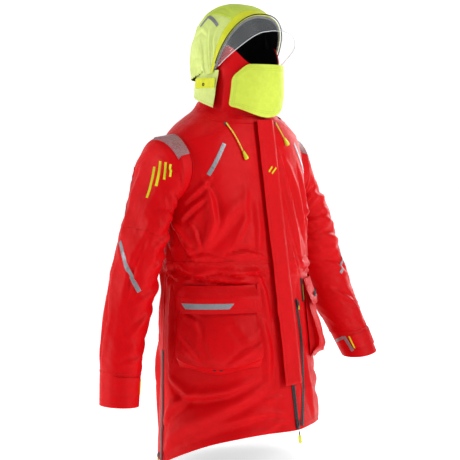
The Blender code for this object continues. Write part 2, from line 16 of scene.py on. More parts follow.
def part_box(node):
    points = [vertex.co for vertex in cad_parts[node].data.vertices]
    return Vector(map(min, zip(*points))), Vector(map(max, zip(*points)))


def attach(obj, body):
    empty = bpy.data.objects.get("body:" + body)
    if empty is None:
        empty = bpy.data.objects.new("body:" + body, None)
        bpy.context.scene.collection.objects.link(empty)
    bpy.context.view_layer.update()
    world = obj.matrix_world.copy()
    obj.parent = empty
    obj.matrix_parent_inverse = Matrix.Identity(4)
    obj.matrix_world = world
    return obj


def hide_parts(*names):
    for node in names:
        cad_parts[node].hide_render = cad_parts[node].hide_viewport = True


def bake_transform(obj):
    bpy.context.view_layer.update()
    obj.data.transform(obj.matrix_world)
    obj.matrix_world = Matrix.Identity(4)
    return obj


FABRIC = 0.002
LINING = 0.0012
TRIM = 0.0008
HEM_FRONT = -0.730
HEM_BACK = -0.808
SIDE_SEAM = math.radians(104)
FLAP_HALF = 0.031
FLAP_TOP = -0.006
FLAP_END = -0.624
FLAP_RISE = 0.0095
ZIP_HALF = 0.0055
FRONT_LINE = (0.0915, 0.1550)  # how far ahead the straight zip line is, and its slope
FRONT_OUT = np.array((0, -1.0, FRONT_LINE[1])) / math.hypot(1, FRONT_LINE[1])
ARMHOLE = (0.030, -0.122, 0.078, 0.084)  # middle y and z, half its depth and height
WAIST = -0.335
FLOOR = -0.842


def front_depth(height):
    return FRONT_LINE[0] - FRONT_LINE[1] * height


BODY = (
    (0.045, 0.090, 0.0870, 0.091, 2.0),
    (0.020, 0.101, 0.0895, 0.110, 2.0),
    (0.000, 0.126, front_depth(0.000), 0.133, 2.0),
    (-0.020, 0.158, front_depth(-0.020), 0.145, 2.0),
    (-0.045, 0.184, front_depth(-0.045), 0.150, 2.05),
    (-0.075, 0.196, front_depth(-0.075), 0.150, 2.1),
    (-0.120, 0.201, front_depth(-0.120), 0.150, 2.2),
    (-0.200, 0.204, front_depth(-0.200), 0.150, 2.1),
    (-0.300, 0.206, front_depth(-0.300), 0.150, 2.0),
    (-0.360, 0.206, front_depth(-0.360), 0.150, 1.9),
    (-0.450, 0.213, front_depth(-0.450), 0.156, 1.8),
    (-0.600, 0.221, front_depth(-0.600), 0.161, 1.72),
    (-0.720, 0.226, front_depth(-0.720), 0.162, 1.66),
    (-0.830, 0.229, front_depth(-0.830), 0.163, 1.66),
)
COLLAR = (
    (0.000, 0.1000, 0.089, 0.094, 2.0),
    (0.040, 0.0905, 0.096, 0.084, 2.1),
    (0.080, 0.0860, 0.104, 0.079, 2.2),
    (0.125, 0.0850, 0.110, 0.078, 2.2),
    (0.175, 0.0860, 0.114, 0.078, 2.2),
)
FACE_GUARD = (
    (0.000, 0.1030, 0.105, 0.090, 2.1),
    (0.040, 0.0985, 0.116, 0.090, 2.2),
    (0.080, 0.0955, 0.124, 0.090, 2.2),
    (0.125, 0.0930, 0.125, 0.090, 2.2),
)
SLEEVES = {
    -1: (
        ((-0.218, 0.034, -0.046), (-0.2085, 0.032, -0.210), 0.080),
        ((-0.237, 0.036, -0.078), (-0.214, 0.034, -0.220), 0.078),
        ((-0.254, 0.038, -0.130), (-0.219, 0.036, -0.242), 0.073),
        ((-0.292, 0.043, -0.225), (-0.222, 0.036, -0.286), 0.066),
        ((-0.336, 0.047, -0.345), (-0.240, 0.036, -0.375), 0.060),
        ((-0.366, 0.044, -0.450), (-0.269, 0.032, -0.470), 0.056),
        ((-0.388, 0.034, -0.550), (-0.297, 0.020, -0.562), 0.051),
        ((-0.404, 0.020, -0.646), (-0.316, 0.006, -0.652), 0.047),
    ),
    1: (
        ((0.218, 0.034, -0.046), (0.2085, 0.032, -0.210), 0.080),
        ((0.240, 0.036, -0.078), (0.214, 0.034, -0.220), 0.078),
        ((0.270, 0.036, -0.130), (0.220, 0.034, -0.242), 0.074),
        ((0.327, 0.034, -0.222), (0.230, 0.020, -0.280), 0.067),
        ((0.369, 0.026, -0.335), (0.260, 0.000, -0.372), 0.060),
        ((0.382, 0.004, -0.430), (0.285, -0.030, -0.458), 0.055),
        ((0.394, -0.034, -0.515), (0.303, -0.072, -0.532), 0.050),
        ((0.400, -0.076, -0.594), (0.313, -0.116, -0.608), 0.045),
    ),
}
ELBOW_AT = 6 / 13            # where the lower sleeve starts
SLEEVE_LENGTH = 0.63
SIDE_NAME = {-1: "right", 1: "left"}
# the two bodies that a piece of cloth spans, and the two points where a bend between them would start
# and stop
UPPER_BLEND = {
    -1: ("torso", "sleeve_right_upper", (-0.2085, 0.03, -0.21), (-0.2565, 0.03, -0.2292)),
    1: ("torso", "sleeve_left_upper", (0.2085, 0.03, -0.21), (0.2635, 0.03, -0.232)),
}
LOWER_BLEND = {
    -1: ("sleeve_right_upper", "sleeve_right_lower", (-0.264, 0.036, -0.279), (-0.3105, 0.036, -0.344)),
    1: ("sleeve_left_upper", "sleeve_left_lower", (0.287, 0.022, -0.2745), (0.324, 0.022, -0.345)),
}
HOOD_BLEND = ("torso", "hood", (0, 0.107, 0.106), (0, 0.057, 0.121))
HOOD = (
    (0.00, -0.089, 0.241, -0.034, 0.136, 0.098),
    (0.20, -0.042, 0.267, -0.016, 0.140, 0.103),
    (0.40, 0.012, 0.274, 0.004, 0.141, 0.106),
    (0.60, 0.066, 0.251, 0.020, 0.138, 0.105),
    (0.80, 0.101, 0.194, 0.037, 0.130, 0.100),
    (1.00, 0.107, 0.106, 0.052, 0.112, 0.094),
)
BROW = 0.062
DRAWCORDS = {
    -1: ((-0.102, -0.014), (-0.094, -0.036), (-0.085, -0.058), (-0.077, -0.078)),
    1: ((0.039, -0.012), (0.048, -0.024), (0.057, -0.036), (0.064, -0.047)),
}

# ---------------------------------------------------------------- numbers


def through(table, key):
    """Rows of a table of sections at those keys, on a smooth curve through the rows."""
    rows = np.array(sorted(table), float)
    keys = rows[:, 0]
    key = np.clip(np.asarray(key, float), keys[0], keys[-1])
    i = np.clip(np.searchsorted(keys, key, side="right") - 1, 0, len(rows) - 2)
    low = np.maximum(np.arange(len(rows)) - 1, 0)
    high = np.minimum(np.arange(len(rows)) + 1, len(rows) - 1)
    slope = (rows[high, 1:] - rows[low, 1:]) / (keys[high] - keys[low])[:, None]
    step = (keys[i + 1] - keys[i])[..., None]
    t = (key[..., None] - keys[i][..., None]) / step
    return (
        (2 * t**3 - 3 * t**2 + 1) * rows[i, 1:]
        + (t**3 - 2 * t**2 + t) * slope[i] * step
        + (3 * t**2 - 2 * t**3) * rows[i + 1, 1:]
        + (t**3 - t**2) * slope[i + 1] * step
    )


def ease(t):
    t = np.clip(t, 0.0, 1.0)
    return t * t * (3 - 2 * t)


def unit(v):
    return v / np.maximum(np.linalg.norm(v, axis=-1, keepdims=True), 1e-12)


def spread(low, high, count):
    return np.linspace(low, high, count)


def wander(x, y, seed):
    """Smooth random values from -1 to 1 over the plane, one for each unit cell."""
    xi, yi = np.floor(x), np.floor(y)
    fx, fy = ease(x - xi), ease(y - yi)

    def corner(i, j):
        value = np.sin(i * 127.1 + j * 311.7 + seed * 74.7) * 43758.5453
        return 2 * (value - np.floor(value)) - 1

    low = corner(xi, yi) * (1 - fx) + corner(xi + 1, yi) * fx
    high = corner(xi, yi + 1) * (1 - fx) + corner(xi + 1, yi + 1) * fx
    return low * (1 - fy) + high * fy


def crumple(x, y, seed, octaves=3):
    """Sharp ridges with soft valleys between them, as creased cloth has; about -1 to 1."""
    total, size = 0.0, 1.0
    for octave in range(octaves):
        turn = 0.6 + 1.3 * octave
        a = x * math.cos(turn) - y * math.sin(turn)
        b = x * math.sin(turn) + y * math.cos(turn)
        total = total + size * (1 - 2.2 * np.abs(wander(a, b, seed + octave)))
        x, y, size = x * 2.07, y * 2.07, size * 0.48
    return total / 1.6


def creases(x, y, lines):
    """Folds along lines, each (points, width, height). A ridge has a valley beside it, to the
    right of the line for a positive width and to the left for a negative one."""
    total = np.zeros(np.broadcast(x, y).shape)
    for points, width, height in lines:
        best = np.full(total.shape, 9.0)
        signed, place = np.zeros(total.shape), np.zeros(total.shape)
        lengths = [math.dist(a, b) for a, b in zip(points, points[1:])]
        done, whole = 0.0, sum(lengths)
        for (ax, ay), (bx, by), length in zip(points, points[1:], lengths):
            ux, uy = (bx - ax) / length, (by - ay) / length
            along = (x - ax) * ux + (y - ay) * uy
            t = np.clip(along, 0, length)
            dx, dy = x - ax - ux * t, y - ay - uy * t
            gap = np.hypot(dx, dy)
            nearer = gap < best
            best = np.where(nearer, gap, best)
            signed = np.where(nearer, np.where(dx * uy - dy * ux > 0, gap, -gap), signed)
            place = np.where(nearer, (done + t) / whole, place)
            done += length
        fade = np.sin(np.pi * np.clip(place * 0.92 + 0.04, 0, 1)) ** 0.7
        w = abs(width) * (0.55 + 0.45 * fade)
        d = signed * (1 if width > 0 else -1)
        ridge = np.exp(-((d / w) ** 2)) - 0.75 * np.exp(-(((d - 1.35 * w) / (0.75 * w)) ** 2))
        total += height * fade * ridge
    return total


# ---------------------------------------------------------------- surfaces


def ring(table, turn, height, off=0.0):
    """A point off the surface of a sectioned tube; turn is 0 in front and grows to the left."""
    turn, height = np.broadcast_arrays(np.asarray(turn, float), np.asarray(height, float))

    def at(t, z):
        half, front, back, square = np.moveaxis(through(table, z), -1, 0)
        s, c = np.sin(t), np.cos(t)
        power = 2 / square
        x = half * np.sign(s) * np.abs(s) ** power
        y = -np.where(c > 0, front, back) * np.sign(c) * np.abs(c) ** power
        return np.stack((x, y, z), -1)

    around = at(turn + 0.01, height) - at(turn - 0.01, height)
    along = at(turn, height + 0.004) - at(turn, height - 0.004)
    return at(turn, height) + np.asarray(off)[..., None] * unit(np.cross(around, along))


def turn_at(table, x, height):
    half, _, _, square = np.moveaxis(through(table, height), -1, 0)
    return np.sign(x) * np.arcsin(np.minimum(np.abs(x) / half, 1.0) ** (square / 2))


def hem(turn):
    return HEM_FRONT + (HEM_BACK - HEM_FRONT) * ease((1 - np.cos(turn)) / 1.25)


def neck(turn):
    return -0.004 + 0.044 * ease((1 - np.cos(turn)) / 1.9)


# Folds of the body, as (turn in degrees, height) points, width and height in metres.
BODY_FOLDS = (
    # chest on the wearer's right, from the armhole
    (((-56, -0.150), (-51, -0.190), (-50, -0.235), (-55, -0.275)), -0.013, 0.0065),
    (((-77, -0.195), (-64, -0.170), (-50, -0.140)), 0.009, 0.0045),
    (((-80, -0.235), (-68, -0.207), (-56, -0.185)), 0.008, 0.0050),
    (((-98, -0.225), (-82, -0.262), (-70, -0.292)), 0.009, 0.0065),
    (((-88, -0.262), (-76, -0.292), (-66, -0.328)), 0.008, 0.0050),
    (((-72, -0.240), (-66, -0.262), (-62, -0.300)), -0.007, 0.0035),
    (((-60, -0.300), (-40, -0.228), (-20, -0.180)), 0.018, 0.0048),
    (((-36, -0.300), (-24, -0.235), (-21, -0.160)), 0.010, 0.0030),
    (((-17, -0.325), (-14, -0.250), (-13, -0.190)), -0.008, 0.0024),
    (((-40, -0.318), (-26, -0.312), (-14, -0.322)), -0.007, 0.0040),
    (((-74, -0.325), (-58, -0.318), (-46, -0.326)), -0.006, 0.0030),
    # blousing over the waist cord
    (((-82, -0.346), (-66, -0.360), (-52, -0.352)), 0.008, 0.0055),
    (((-66, -0.366), (-44, -0.374), (-24, -0.380)), 0.007, 0.0055),
    (((-50, -0.350), (-34, -0.358), (-18, -0.352)), 0.006, 0.0035),
    (((-104, -0.352), (-92, -0.366), (-82, -0.372)), 0.007, 0.0045),
    (((-22, -0.345), (-17, -0.400), (-15, -0.470)), -0.009, 0.0042),
    (((-20, -0.470), (-18, -0.540), (-20, -0.610)), -0.010, 0.0036),
    # side seam
    (((-108, -0.275), (-113, -0.340), (-107, -0.420), (-111, -0.500)), 0.011, 0.0050),
    (((-100, -0.300), (-96, -0.345), (-99, -0.390)), -0.008, 0.0045),
    (((-92, -0.400), (-89, -0.480), (-90, -0.575)), -0.009, 0.0060),
    (((-120, -0.420), (-117, -0.520), (-121, -0.620)), 0.014, 0.0050),
    # skirt under the pocket on the right
    (((-90, -0.600), (-68, -0.640), (-46, -0.628), (-28, -0.600)), 0.013, 0.0060),
    (((-100, -0.712), (-84, -0.668), (-66, -0.630)), 0.013, 0.0055),
    (((-97, -0.775), (-74, -0.715), (-48, -0.668), (-24, -0.622)), 0.017, 0.0062),
    (((-72, -0.742), (-52, -0.702), (-22, -0.676)), 0.014, 0.0050),
    (((-60, -0.775), (-40, -0.735), (-18, -0.715)), 0.012, 0.0032),
    (((-30, -0.690), (-18, -0.684), (-9, -0.694)), 0.007, 0.0028),
    (((-24, -0.655), (-14, -0.648), (-8, -0.655)), -0.006, 0.0022),
    (((-22, -0.715), (-14, -0.704), (-8, -0.708)), 0.006, 0.0022),
    # chest on the wearer's left
    (((10, -0.075), (16, -0.180), (25, -0.290), (29, -0.360)), 0.010, 0.0040),
    (((17, -0.100), (30, -0.190), (41, -0.300)), 0.011, 0.0050),
    (((36, -0.120), (46, -0.190), (54, -0.280)), 0.012, 0.0045),
    (((78, -0.190), (62, -0.220), (44, -0.235)), -0.010, 0.0050),
    (((98, -0.225), (80, -0.265), (60, -0.300)), -0.011, 0.0060),
    (((12, -0.290), (15, -0.335), (20, -0.372)), -0.007, 0.0032),
    (((26, -0.350), (40, -0.362), (62, -0.352)), 0.008, 0.0045),
    (((44, -0.372), (64, -0.378), (86, -0.366)), 0.007, 0.0040),
    (((20, -0.400), (22, -0.470), (25, -0.540)), 0.008, 0.0030),
    # skirt on the left
    (((32, -0.610), (50, -0.640), (80, -0.620)), -0.013, 0.0026),
    (((24, -0.640), (44, -0.690), (60, -0.760)), -0.017, 0.0028),
    (((70, -0.620), (84, -0.690), (96, -0.770)), -0.013, 0.0040),
    (((22, -0.560), (24, -0.640), (30, -0.720)), 0.010, 0.0040),
    (((106, -0.420), (110, -0.540), (104, -0.680)), 0.014, 0.0050),
    # back: across the shoulder blades, then long drapes
    (((130, -0.080), (160, -0.110), (190, -0.085)), 0.020, 0.0040),
    (((125, -0.200), (150, -0.250), (165, -0.330)), 0.014, 0.0060),
    (((235, -0.200), (212, -0.255), (196, -0.330)), -0.014, 0.0060),
    (((140, -0.350), (166, -0.364), (190, -0.350)), 0.009, 0.0055),
    (((176, -0.372), (204, -0.364), (228, -0.374)), 0.009, 0.0055),
    (((146, -0.390), (152, -0.540), (142, -0.740)), 0.020, 0.0080),
    (((182, -0.385), (178, -0.560), (186, -0.780)), -0.018, 0.0075),
    (((214, -0.390), (206, -0.560), (216, -0.750)), 0.020, 0.0080),
    (((128, -0.450), (124, -0.600), (130, -0.750)), 0.014, 0.0055),
    (((234, -0.440), (238, -0.600), (232, -0.750)), -0.014, 0.0055),
)
METRES_A_DEGREE = 0.0031
BEHIND = 0.34                # metres round from the front, where the folds of the back begin
FOLD_DEPTH = 1.45
POCKETS = {-1: (25, 77), 1: (30, 84)}


def body_folds(turn, z):
    """How far the folded cloth stands out of the smooth body."""
    degrees = np.degrees(turn)
    degrees = np.where(degrees > 180, degrees - 360, degrees)
    x = degrees * METRES_A_DEGREE
    round_back = np.where(degrees < -110, degrees + 360, degrees)
    ahead, behind = [], []
    for points, width, height in BODY_FOLDS:
        points = [(a * METRES_A_DEGREE, b) for a, b in points]
        (behind if points[1][0] > BEHIND else ahead).append((points, width, height))
    off = FOLD_DEPTH * (creases(x, z, ahead) + creases(round_back * METRES_A_DEGREE, z, behind))
    armpit = np.exp(-(((np.abs(degrees) - 82) / 24) ** 2) - ((z + 0.245) / 0.055) ** 2)
    off = off + armpit * 0.0042 * crumple(x * 17 + z * 12, z * 20 - x * 9, 17, 2)
    loop = np.cos(turn) * 0.17, np.sin(turn) * 0.21
    drape = wander(loop[0] * 14 + 3 * z, loop[1] * 14 + 9.1, 3) * 0.0030
    drape += wander(loop[0] * 30 + 31 + 2 * z, loop[1] * 30 + z * 6, 5) * 0.0013
    skirt = ease((-z - 0.45) / 0.25)
    off = off + drape * (0.45 + 0.8 * skirt)
    at_waist = np.exp(-(((z + 0.356) / 0.030) ** 2))
    off = off + at_waist * 0.0046 * crumple(x * 20, z * 58, 11, 2)
    calm = ease((-z - 0.08) / 0.10)
    fine = crumple(x * 17, z * 15, 21, 3) * 0.0010 + wander(x * 60, z * 50, 8) * 0.0003
    off = off + fine * (0.35 + 0.65 * calm)
    place = ring(BODY, turn, z)
    off = off * ease((np.abs(place[..., 0]) - 0.012) / 0.040 + 1.2 * (np.cos(turn) < 0))
    middle_y, middle_z, half_y, half_z = ARMHOLE
    away = np.hypot((place[..., 1] - middle_y) / half_y, (place[..., 2] - middle_z) / half_z)
    near = ease((away - 1.0) / 0.30)
    off = off * np.where(z < ARMHOLE[1] - 1.5 * half_z, 1.0, near)
    off = off * ease((neck(turn) - z) / 0.05)
    for side, (inner, outer) in POCKETS.items():
        across = (degrees * side - inner + 1) / (outer - inner + 2)
        inside = ease(across / 0.10) * ease((1 - across) / 0.10)
        inside = inside * ease((-z - 0.392) / 0.012) * ease((z + 0.600) / 0.020)
        off = off * (1 - 0.85 * inside)
    return off


def body_at(turn, z, off=0.0):
    turn, z = np.broadcast_arrays(np.asarray(turn, float), np.asarray(z, float))
    return ring(BODY, turn, z, body_folds(turn, z) + off)


def front_at(x, z, off=0.0):
    return body_at(turn_at(BODY, np.asarray(x, float), np.asarray(z, float)), z, off)


def smooth_front(x, z, off=0.0):
    """A point of the front without its folds."""
    return ring(BODY, turn_at(BODY, np.asarray(x, float), np.asarray(z, float)), z, off)


SLEEVE_FOLDS = {
    # (along, angle in degrees) points, width and height in metres
    -1: (
        (((0.06, -120), (0.16, -80), (0.22, -50)), 0.012, 0.0045),
        (((0.10, -160), (0.22, -118), (0.30, -84)), 0.011, 0.0055),
        (((0.30, -150), (0.36, -105), (0.40, -60)), 0.010, 0.0055),
        (((0.38, -170), (0.44, -120), (0.50, -80)), 0.010, 0.0065),
        (((0.47, -180), (0.50, -130), (0.56, -90)), 0.009, 0.0060),
        (((0.56, -170), (0.62, -120), (0.66, -70)), 0.010, 0.0055),
        (((0.66, -160), (0.70, -110), (0.78, -60)), 0.010, 0.0050),
        (((0.78, -150), (0.84, -100), (0.86, -60)), 0.008, 0.0040),
        (((0.18, -30), (0.34, -36), (0.46, -20)), 0.012, 0.0040),
        (((0.20, 20), (0.36, 26), (0.52, 16)), 0.012, 0.0035),
        (((0.44, -50), (0.56, -30), (0.66, -36)), -0.012, 0.0045),
        (((0.58, 10), (0.72, -10), (0.86, 0)), 0.011, 0.0045),
        (((0.40, 120), (0.47, 160), (0.50, 200)), 0.010, 0.0060),
        (((0.50, 110), (0.55, 150), (0.60, 190)), 0.010, 0.0050),
        (((0.20, 90), (0.30, 120), (0.34, 160)), 0.012, 0.0050),
        (((0.62, 60), (0.72, 90), (0.80, 130)), 0.011, 0.0045),
    ),
    1: (
        (((0.08, -50), (0.20, -30), (0.30, -20)), 0.012, 0.0045),
        (((0.12, -150), (0.24, -110), (0.32, -80)), 0.011, 0.0055),
        (((0.28, -110), (0.36, -70), (0.40, -30)), 0.010, 0.0060),
        (((0.38, -170), (0.42, -110), (0.48, -60)), 0.010, 0.0070),
        (((0.46, -160), (0.50, -100), (0.54, -50)), 0.009, 0.0070),
        (((0.55, -170), (0.60, -110), (0.66, -70)), 0.009, 0.0055),
        (((0.60, -70), (0.70, -50), (0.78, -60)), 0.011, 0.0050),
        (((0.68, -150), (0.76, -100), (0.84, -80)), 0.010, 0.0050),
        (((0.78, -60), (0.84, -40), (0.88, -10)), 0.008, 0.0045),
        (((0.50, -20), (0.64, 0), (0.80, -16)), 0.012, 0.0045),
        (((0.20, 30), (0.36, 20), (0.50, 30)), 0.012, 0.0045),
        (((0.40, 120), (0.47, 160), (0.50, 200)), 0.010, 0.0060),
        (((0.52, 100), (0.58, 140), (0.60, 180)), 0.010, 0.0050),
        (((0.66, 60), (0.76, 90), (0.82, 130)), 0.010, 0.0045),
    ),
}


def sleeve_folds(side, along, angle):
    degrees = np.degrees(angle)
    degrees = (degrees + 180) % 360 - 180
    y = along * SLEEVE_LENGTH
    scale = 0.00115          # metres a degree round the sleeve
    lines = [
        ([(b * scale, a * SLEEVE_LENGTH) for a, b in points], width, height)
        for points, width, height in SLEEVE_FOLDS[side]
    ]
    off = sum(creases((degrees + turn) * scale, y, lines) for turn in (-360, 0, 360))
    loop = np.cos(angle) * 0.055, np.sin(angle) * 0.055
    elbow = np.exp(-(((along - 0.46) / 0.16) ** 2))
    wrist = np.exp(-(((along - 0.83) / 0.09) ** 2))
    near = 0.35 + 0.9 * elbow + 0.7 * wrist
    ruck = crumple(loop[0] * 22 + y * 5, loop[1] * 22 + y * 24 + 5, 31 + side, 3)
    off = off + near * 0.0030 * ruck
    off = off + 0.0022 * wander(loop[0] * 26 + 7, loop[1] * 26 + y * 5, 41 + side)
    off = off * (1 - 0.8 * ease((along - 0.875) / 0.03))
    return off * ease((along + 0.02) / 0.09)


def armhole(side, angle):
    middle_y, middle_z, half_y, half_z = ARMHOLE
    y = middle_y + half_y * np.sin(angle)
    z = middle_z + half_z * np.cos(angle)
    half, front, back, square = np.moveaxis(through(BODY, z), -1, 0)
    share = np.minimum(np.abs(y) / np.where(y < 0, front, back), 0.98)
    x = half * (1 - share**square) ** (1 / square)
    return np.stack((side * (x + 0.0012), y, z), -1)


def sleeve_smooth(side, along, angle, off=0.0):
    """along is 0 at the shoulder, 1 at the cuff, and -0.06 at the armhole."""
    rails = SLEEVES[side]
    table = [(float(i), *outer, *inner, depth) for i, (outer, inner, depth) in enumerate(rails)]
    row = through(table, np.clip(along, 0, 1) * (len(rails) - 1))
    outer, inner, depth = row[..., 0:3], row[..., 3:6], row[..., 6:7]
    u = (outer - inner) / 2
    v = np.array((0.0, 1.0, 0.0))
    v = unit(v - u * (u[..., 1:2] / np.sum(u * u, -1, keepdims=True)))
    off = np.asarray(off)[..., None]
    c, s = np.cos(angle)[..., None], np.sin(angle)[..., None]
    reach = np.linalg.norm(u, axis=-1, keepdims=True) + off
    place = (outer + inner) / 2 + unit(u) * reach * c + v * (depth + off) * s
    back = ease(-along / 0.06)[..., None]
    return place * (1 - back) + (armhole(side, angle) + off * np.array((side, 0, 0))) * back


def sleeve_at(side, along, angle, off=0.0):
    along, angle = np.broadcast_arrays(np.asarray(along, float), np.asarray(angle, float))
    return sleeve_smooth(side, along, angle, sleeve_folds(side, along, angle) + off)


def collar_top(turn):
    return 0.118 + 0.050 * ease((1 - np.cos(turn)) / 0.62)


def collar_at(turn, v, off=0.0):
    """v is 0 at the neck seam and 1 at the collar's top."""
    turn, v = np.broadcast_arrays(np.asarray(turn, float), np.asarray(v, float))
    bottom = neck(turn) + 0.0045
    wave = 0.0012 * wander(np.degrees(turn) / 13, v * 2 + 4, 51)
    wave = wave + 0.0007 * crumple(np.degrees(turn) / 22, v * 3, 53, 2)
    wave = np.minimum(wave, 0.0013) * ease((1 - np.abs(v - 0.5)) / 0.5)
    return ring(COLLAR, turn, bottom + (collar_top(turn) - bottom) * v, wave + off)


HOOD_FOLDS = (
    # (along, across) points, width in shares of the hood, height in metres
    (((0.98, -0.80), (0.86, -0.62), (0.72, -0.55)), 0.028, 0.0040),
    (((0.98, -0.62), (0.88, -0.50), (0.80, -0.42)), 0.024, 0.0040),
    (((0.99, -0.90), (0.84, -0.84), (0.66, -0.86)), 0.024, 0.0040),
    (((0.96, -0.98), (0.80, -0.97), (0.60, -0.95)), 0.022, 0.0030),
    (((0.97, -0.44), (0.90, -0.36), (0.84, -0.25)), 0.022, 0.0040),
    (((0.97, -0.30), (0.91, -0.15), (0.88, 0.05)), 0.022, 0.0035),
    (((0.14, -0.96), (0.24, -0.80), (0.30, -0.62)), 0.028, 0.0035),
    (((0.10, -0.84), (0.18, -0.70), (0.20, -0.52)), 0.024, 0.0030),
    (((0.40, -0.98), (0.42, -0.84), (0.50, -0.70)), 0.030, 0.0035),
    (((0.34, -0.66), (0.46, -0.58), (0.60, -0.60)), 0.030, 0.0030),
    (((0.16, -0.30), (0.30, -0.22), (0.44, -0.26)), 0.030, 0.0022),
    (((0.98, 0.80), (0.86, 0.62), (0.72, 0.55)), -0.028, 0.0040),
    (((0.98, 0.60), (0.88, 0.46), (0.80, 0.36)), -0.024, 0.0040),
    (((0.99, 0.92), (0.84, 0.85), (0.60, 0.88)), -0.024, 0.0040),
    (((0.97, 0.25), (0.91, 0.12), (0.88, -0.05)), -0.022, 0.0030),
    (((0.14, 0.96), (0.26, 0.80), (0.30, 0.60)), -0.028, 0.0035),
)


def hood_smooth(along, across):
    crown_y, crown_z, side_y, side_z, half = np.moveaxis(through(HOOD, along), -1, 0)
    swing = math.radians(104) * across
    share = np.sign(np.cos(swing)) * np.abs(np.cos(swing)) ** 0.86
    x = half * np.sign(across) * np.abs(np.sin(swing)) ** 0.86
    y = side_y + (crown_y - side_y) * share
    return np.stack((x, y, side_z + (crown_z - side_z) * share), -1)


def hood_folds(along, across):
    off = creases(along, across, HOOD_FOLDS)
    gather = ease((along - 0.80) / 0.18)
    off = off + gather * 0.0022 * crumple(along * 9, across * 11, 61, 3)
    off = off + 0.0020 * wander(along * 4, across * 4 + 3, 63)
    off = off + 0.0007 * crumple(along * 6, across * 6, 65, 3)
    off = off * ease((along + 0.02) / 0.10)
    nape = 0.35 + 0.65 * ease((0.95 - np.abs(across)) / 0.5)
    return off - 0.011 * ease((along - 0.42) / 0.5) * nape


def hood_drop(along):
    """The lower edge of the hood's back hangs over the stand."""
    return 0.016 * ease((along - 0.72) / 0.28)


def hood_at(along, across, off=0.0, folded=True):
    along, across = np.broadcast_arrays(np.asarray(along, float), np.asarray(across, float))
    low, high = np.maximum(along - 0.01, 0), np.minimum(along + 0.01, 1)
    back = hood_smooth(high, across) - hood_smooth(low, across)
    over = hood_smooth(along, across + 0.01) - hood_smooth(along, across - 0.01)
    out = unit(np.cross(over, back))
    if folded:
        off = off + hood_folds(along, across)
    return hood_smooth(along, across) + np.asarray(off)[..., None] * out


def line_at(z, x=0.0, off=0.0):
    """A point in front of the straight zip line, off along its own normal."""
    z, x, off = np.broadcast_arrays(*(np.asarray(value, float) for value in (z, x, off)))
    return np.stack((x, -front_depth(z), z), -1) + off[..., None] * FRONT_OUT


# ---------------------------------------------------------------- materials


def nodes_for(name):
    made = bpy.data.materials.new(name)
    made.use_nodes = True
    tree = made.node_tree
    return made, tree, tree.nodes["Principled BSDF"]


def add(tree, kind, **values):
    node = tree.nodes.new(kind)
    for key, value in values.items():
        if hasattr(node, key):
            setattr(node, key, value)
        else:
            node.inputs[key.replace("_", " ")].default_value = value
    return node


def mix(tree, factor, low, high):
    node = tree.nodes.new("ShaderNodeMix")
    node.data_type = "RGBA"
    for socket, value in ((0, factor), (6, low), (7, high)):
        if isinstance(value, bpy.types.NodeSocket):
            tree.links.new(value, node.inputs[socket])
        else:
            node.inputs[socket].default_value = value
    return node.outputs[2]


def span(tree, value, low, high, to_low, to_high):
    node = tree.nodes.new("ShaderNodeMapRange")
    tree.links.new(value, node.inputs["Value"])
    for key, number in (("From Min", low), ("From Max", high), ("To Min", to_low), ("To Max", to_high)):
        node.inputs[key].default_value = number
    return node.outputs[0]


def noise(tree, **values):
    """Noise in the piece's own space."""
    place = add(tree, "ShaderNodeTexCoord")
    node = add(tree, "ShaderNodeTexNoise", **values)
    tree.links.new(place.outputs["Object"], node.inputs["Vector"])
    return node.outputs[0]


def woven_in(tree, kind, **values):
    """A pattern on the piece's cloth map."""
    uv = add(tree, "ShaderNodeUVMap", uv_map="cloth")
    node = add(tree, kind, **values)
    tree.links.new(uv.outputs[0], node.inputs["Vector"])
    return node.outputs[0]


def finish(tree, shader, **values):
    """Give the shader's inputs a value, or what another node gives."""
    for key, value in values.items():
        socket = shader.inputs[key.replace("_", " ")]
        if isinstance(value, bpy.types.NodeSocket):
            tree.links.new(value, socket)
        else:
            socket.default_value = value


def bump(tree, height, strength, distance=0.0003, under=None):
    node = add(tree, "ShaderNodeBump", Strength=strength, Distance=distance)
    tree.links.new(height, node.inputs["Height"])
    if under is not None:
        tree.links.new(under, node.inputs["Normal"])
    return node.outputs[0]


def tinted(colour, share=1.0):
    return (*(c * share for c in colour), 1)


def cloth(name, colour, deep, rough, thread=0.0009, weave=0.25, crease=0.5, sheen=0.03, gloss=0.22):
    """Woven cloth: two sets of threads, fine creases, and colour that varies a little."""
    made, tree, shader = nodes_for(name)
    threads = [
        woven_in(tree, "ShaderNodeTexWave", bands_direction=direction, Scale=0.32 / thread,
                 Distortion=0.6, Detail_Scale=3)
        for direction in ("X", "Y")
    ]
    woven = mix(tree, 0.5, *threads)
    broad = noise(tree, Scale=7.0, Detail=3.0, Roughness=0.6)
    fine = noise(tree, Scale=70.0, Detail=4.0, Roughness=0.65)
    small = noise(tree, noise_type="RIDGED_MULTIFRACTAL", Scale=26.0, Detail=3.0)
    worn = mix(tree, span(tree, broad, 0.3, 0.7, 0.0, 0.55), tinted(colour), tinted(deep))
    worn = mix(tree, span(tree, fine, 0.35, 0.65, 0.0, 0.22), worn, tinted(colour, 0.62))
    worn = mix(tree, span(tree, woven, 0.0, 1.0, 0.10, 0.0), worn, tinted(colour, 0.35))
    threaded = bump(tree, woven, weave)
    finish(tree, shader, Base_Color=worn,
           Roughness=span(tree, fine, 0.3, 0.7, rough - 0.06, rough + 0.08),
           Normal=bump(tree, small, crease, 0.0012, threaded), Sheen_Weight=sheen,
           Sheen_Roughness=0.4, Specular_IOR_Level=gloss)
    return made


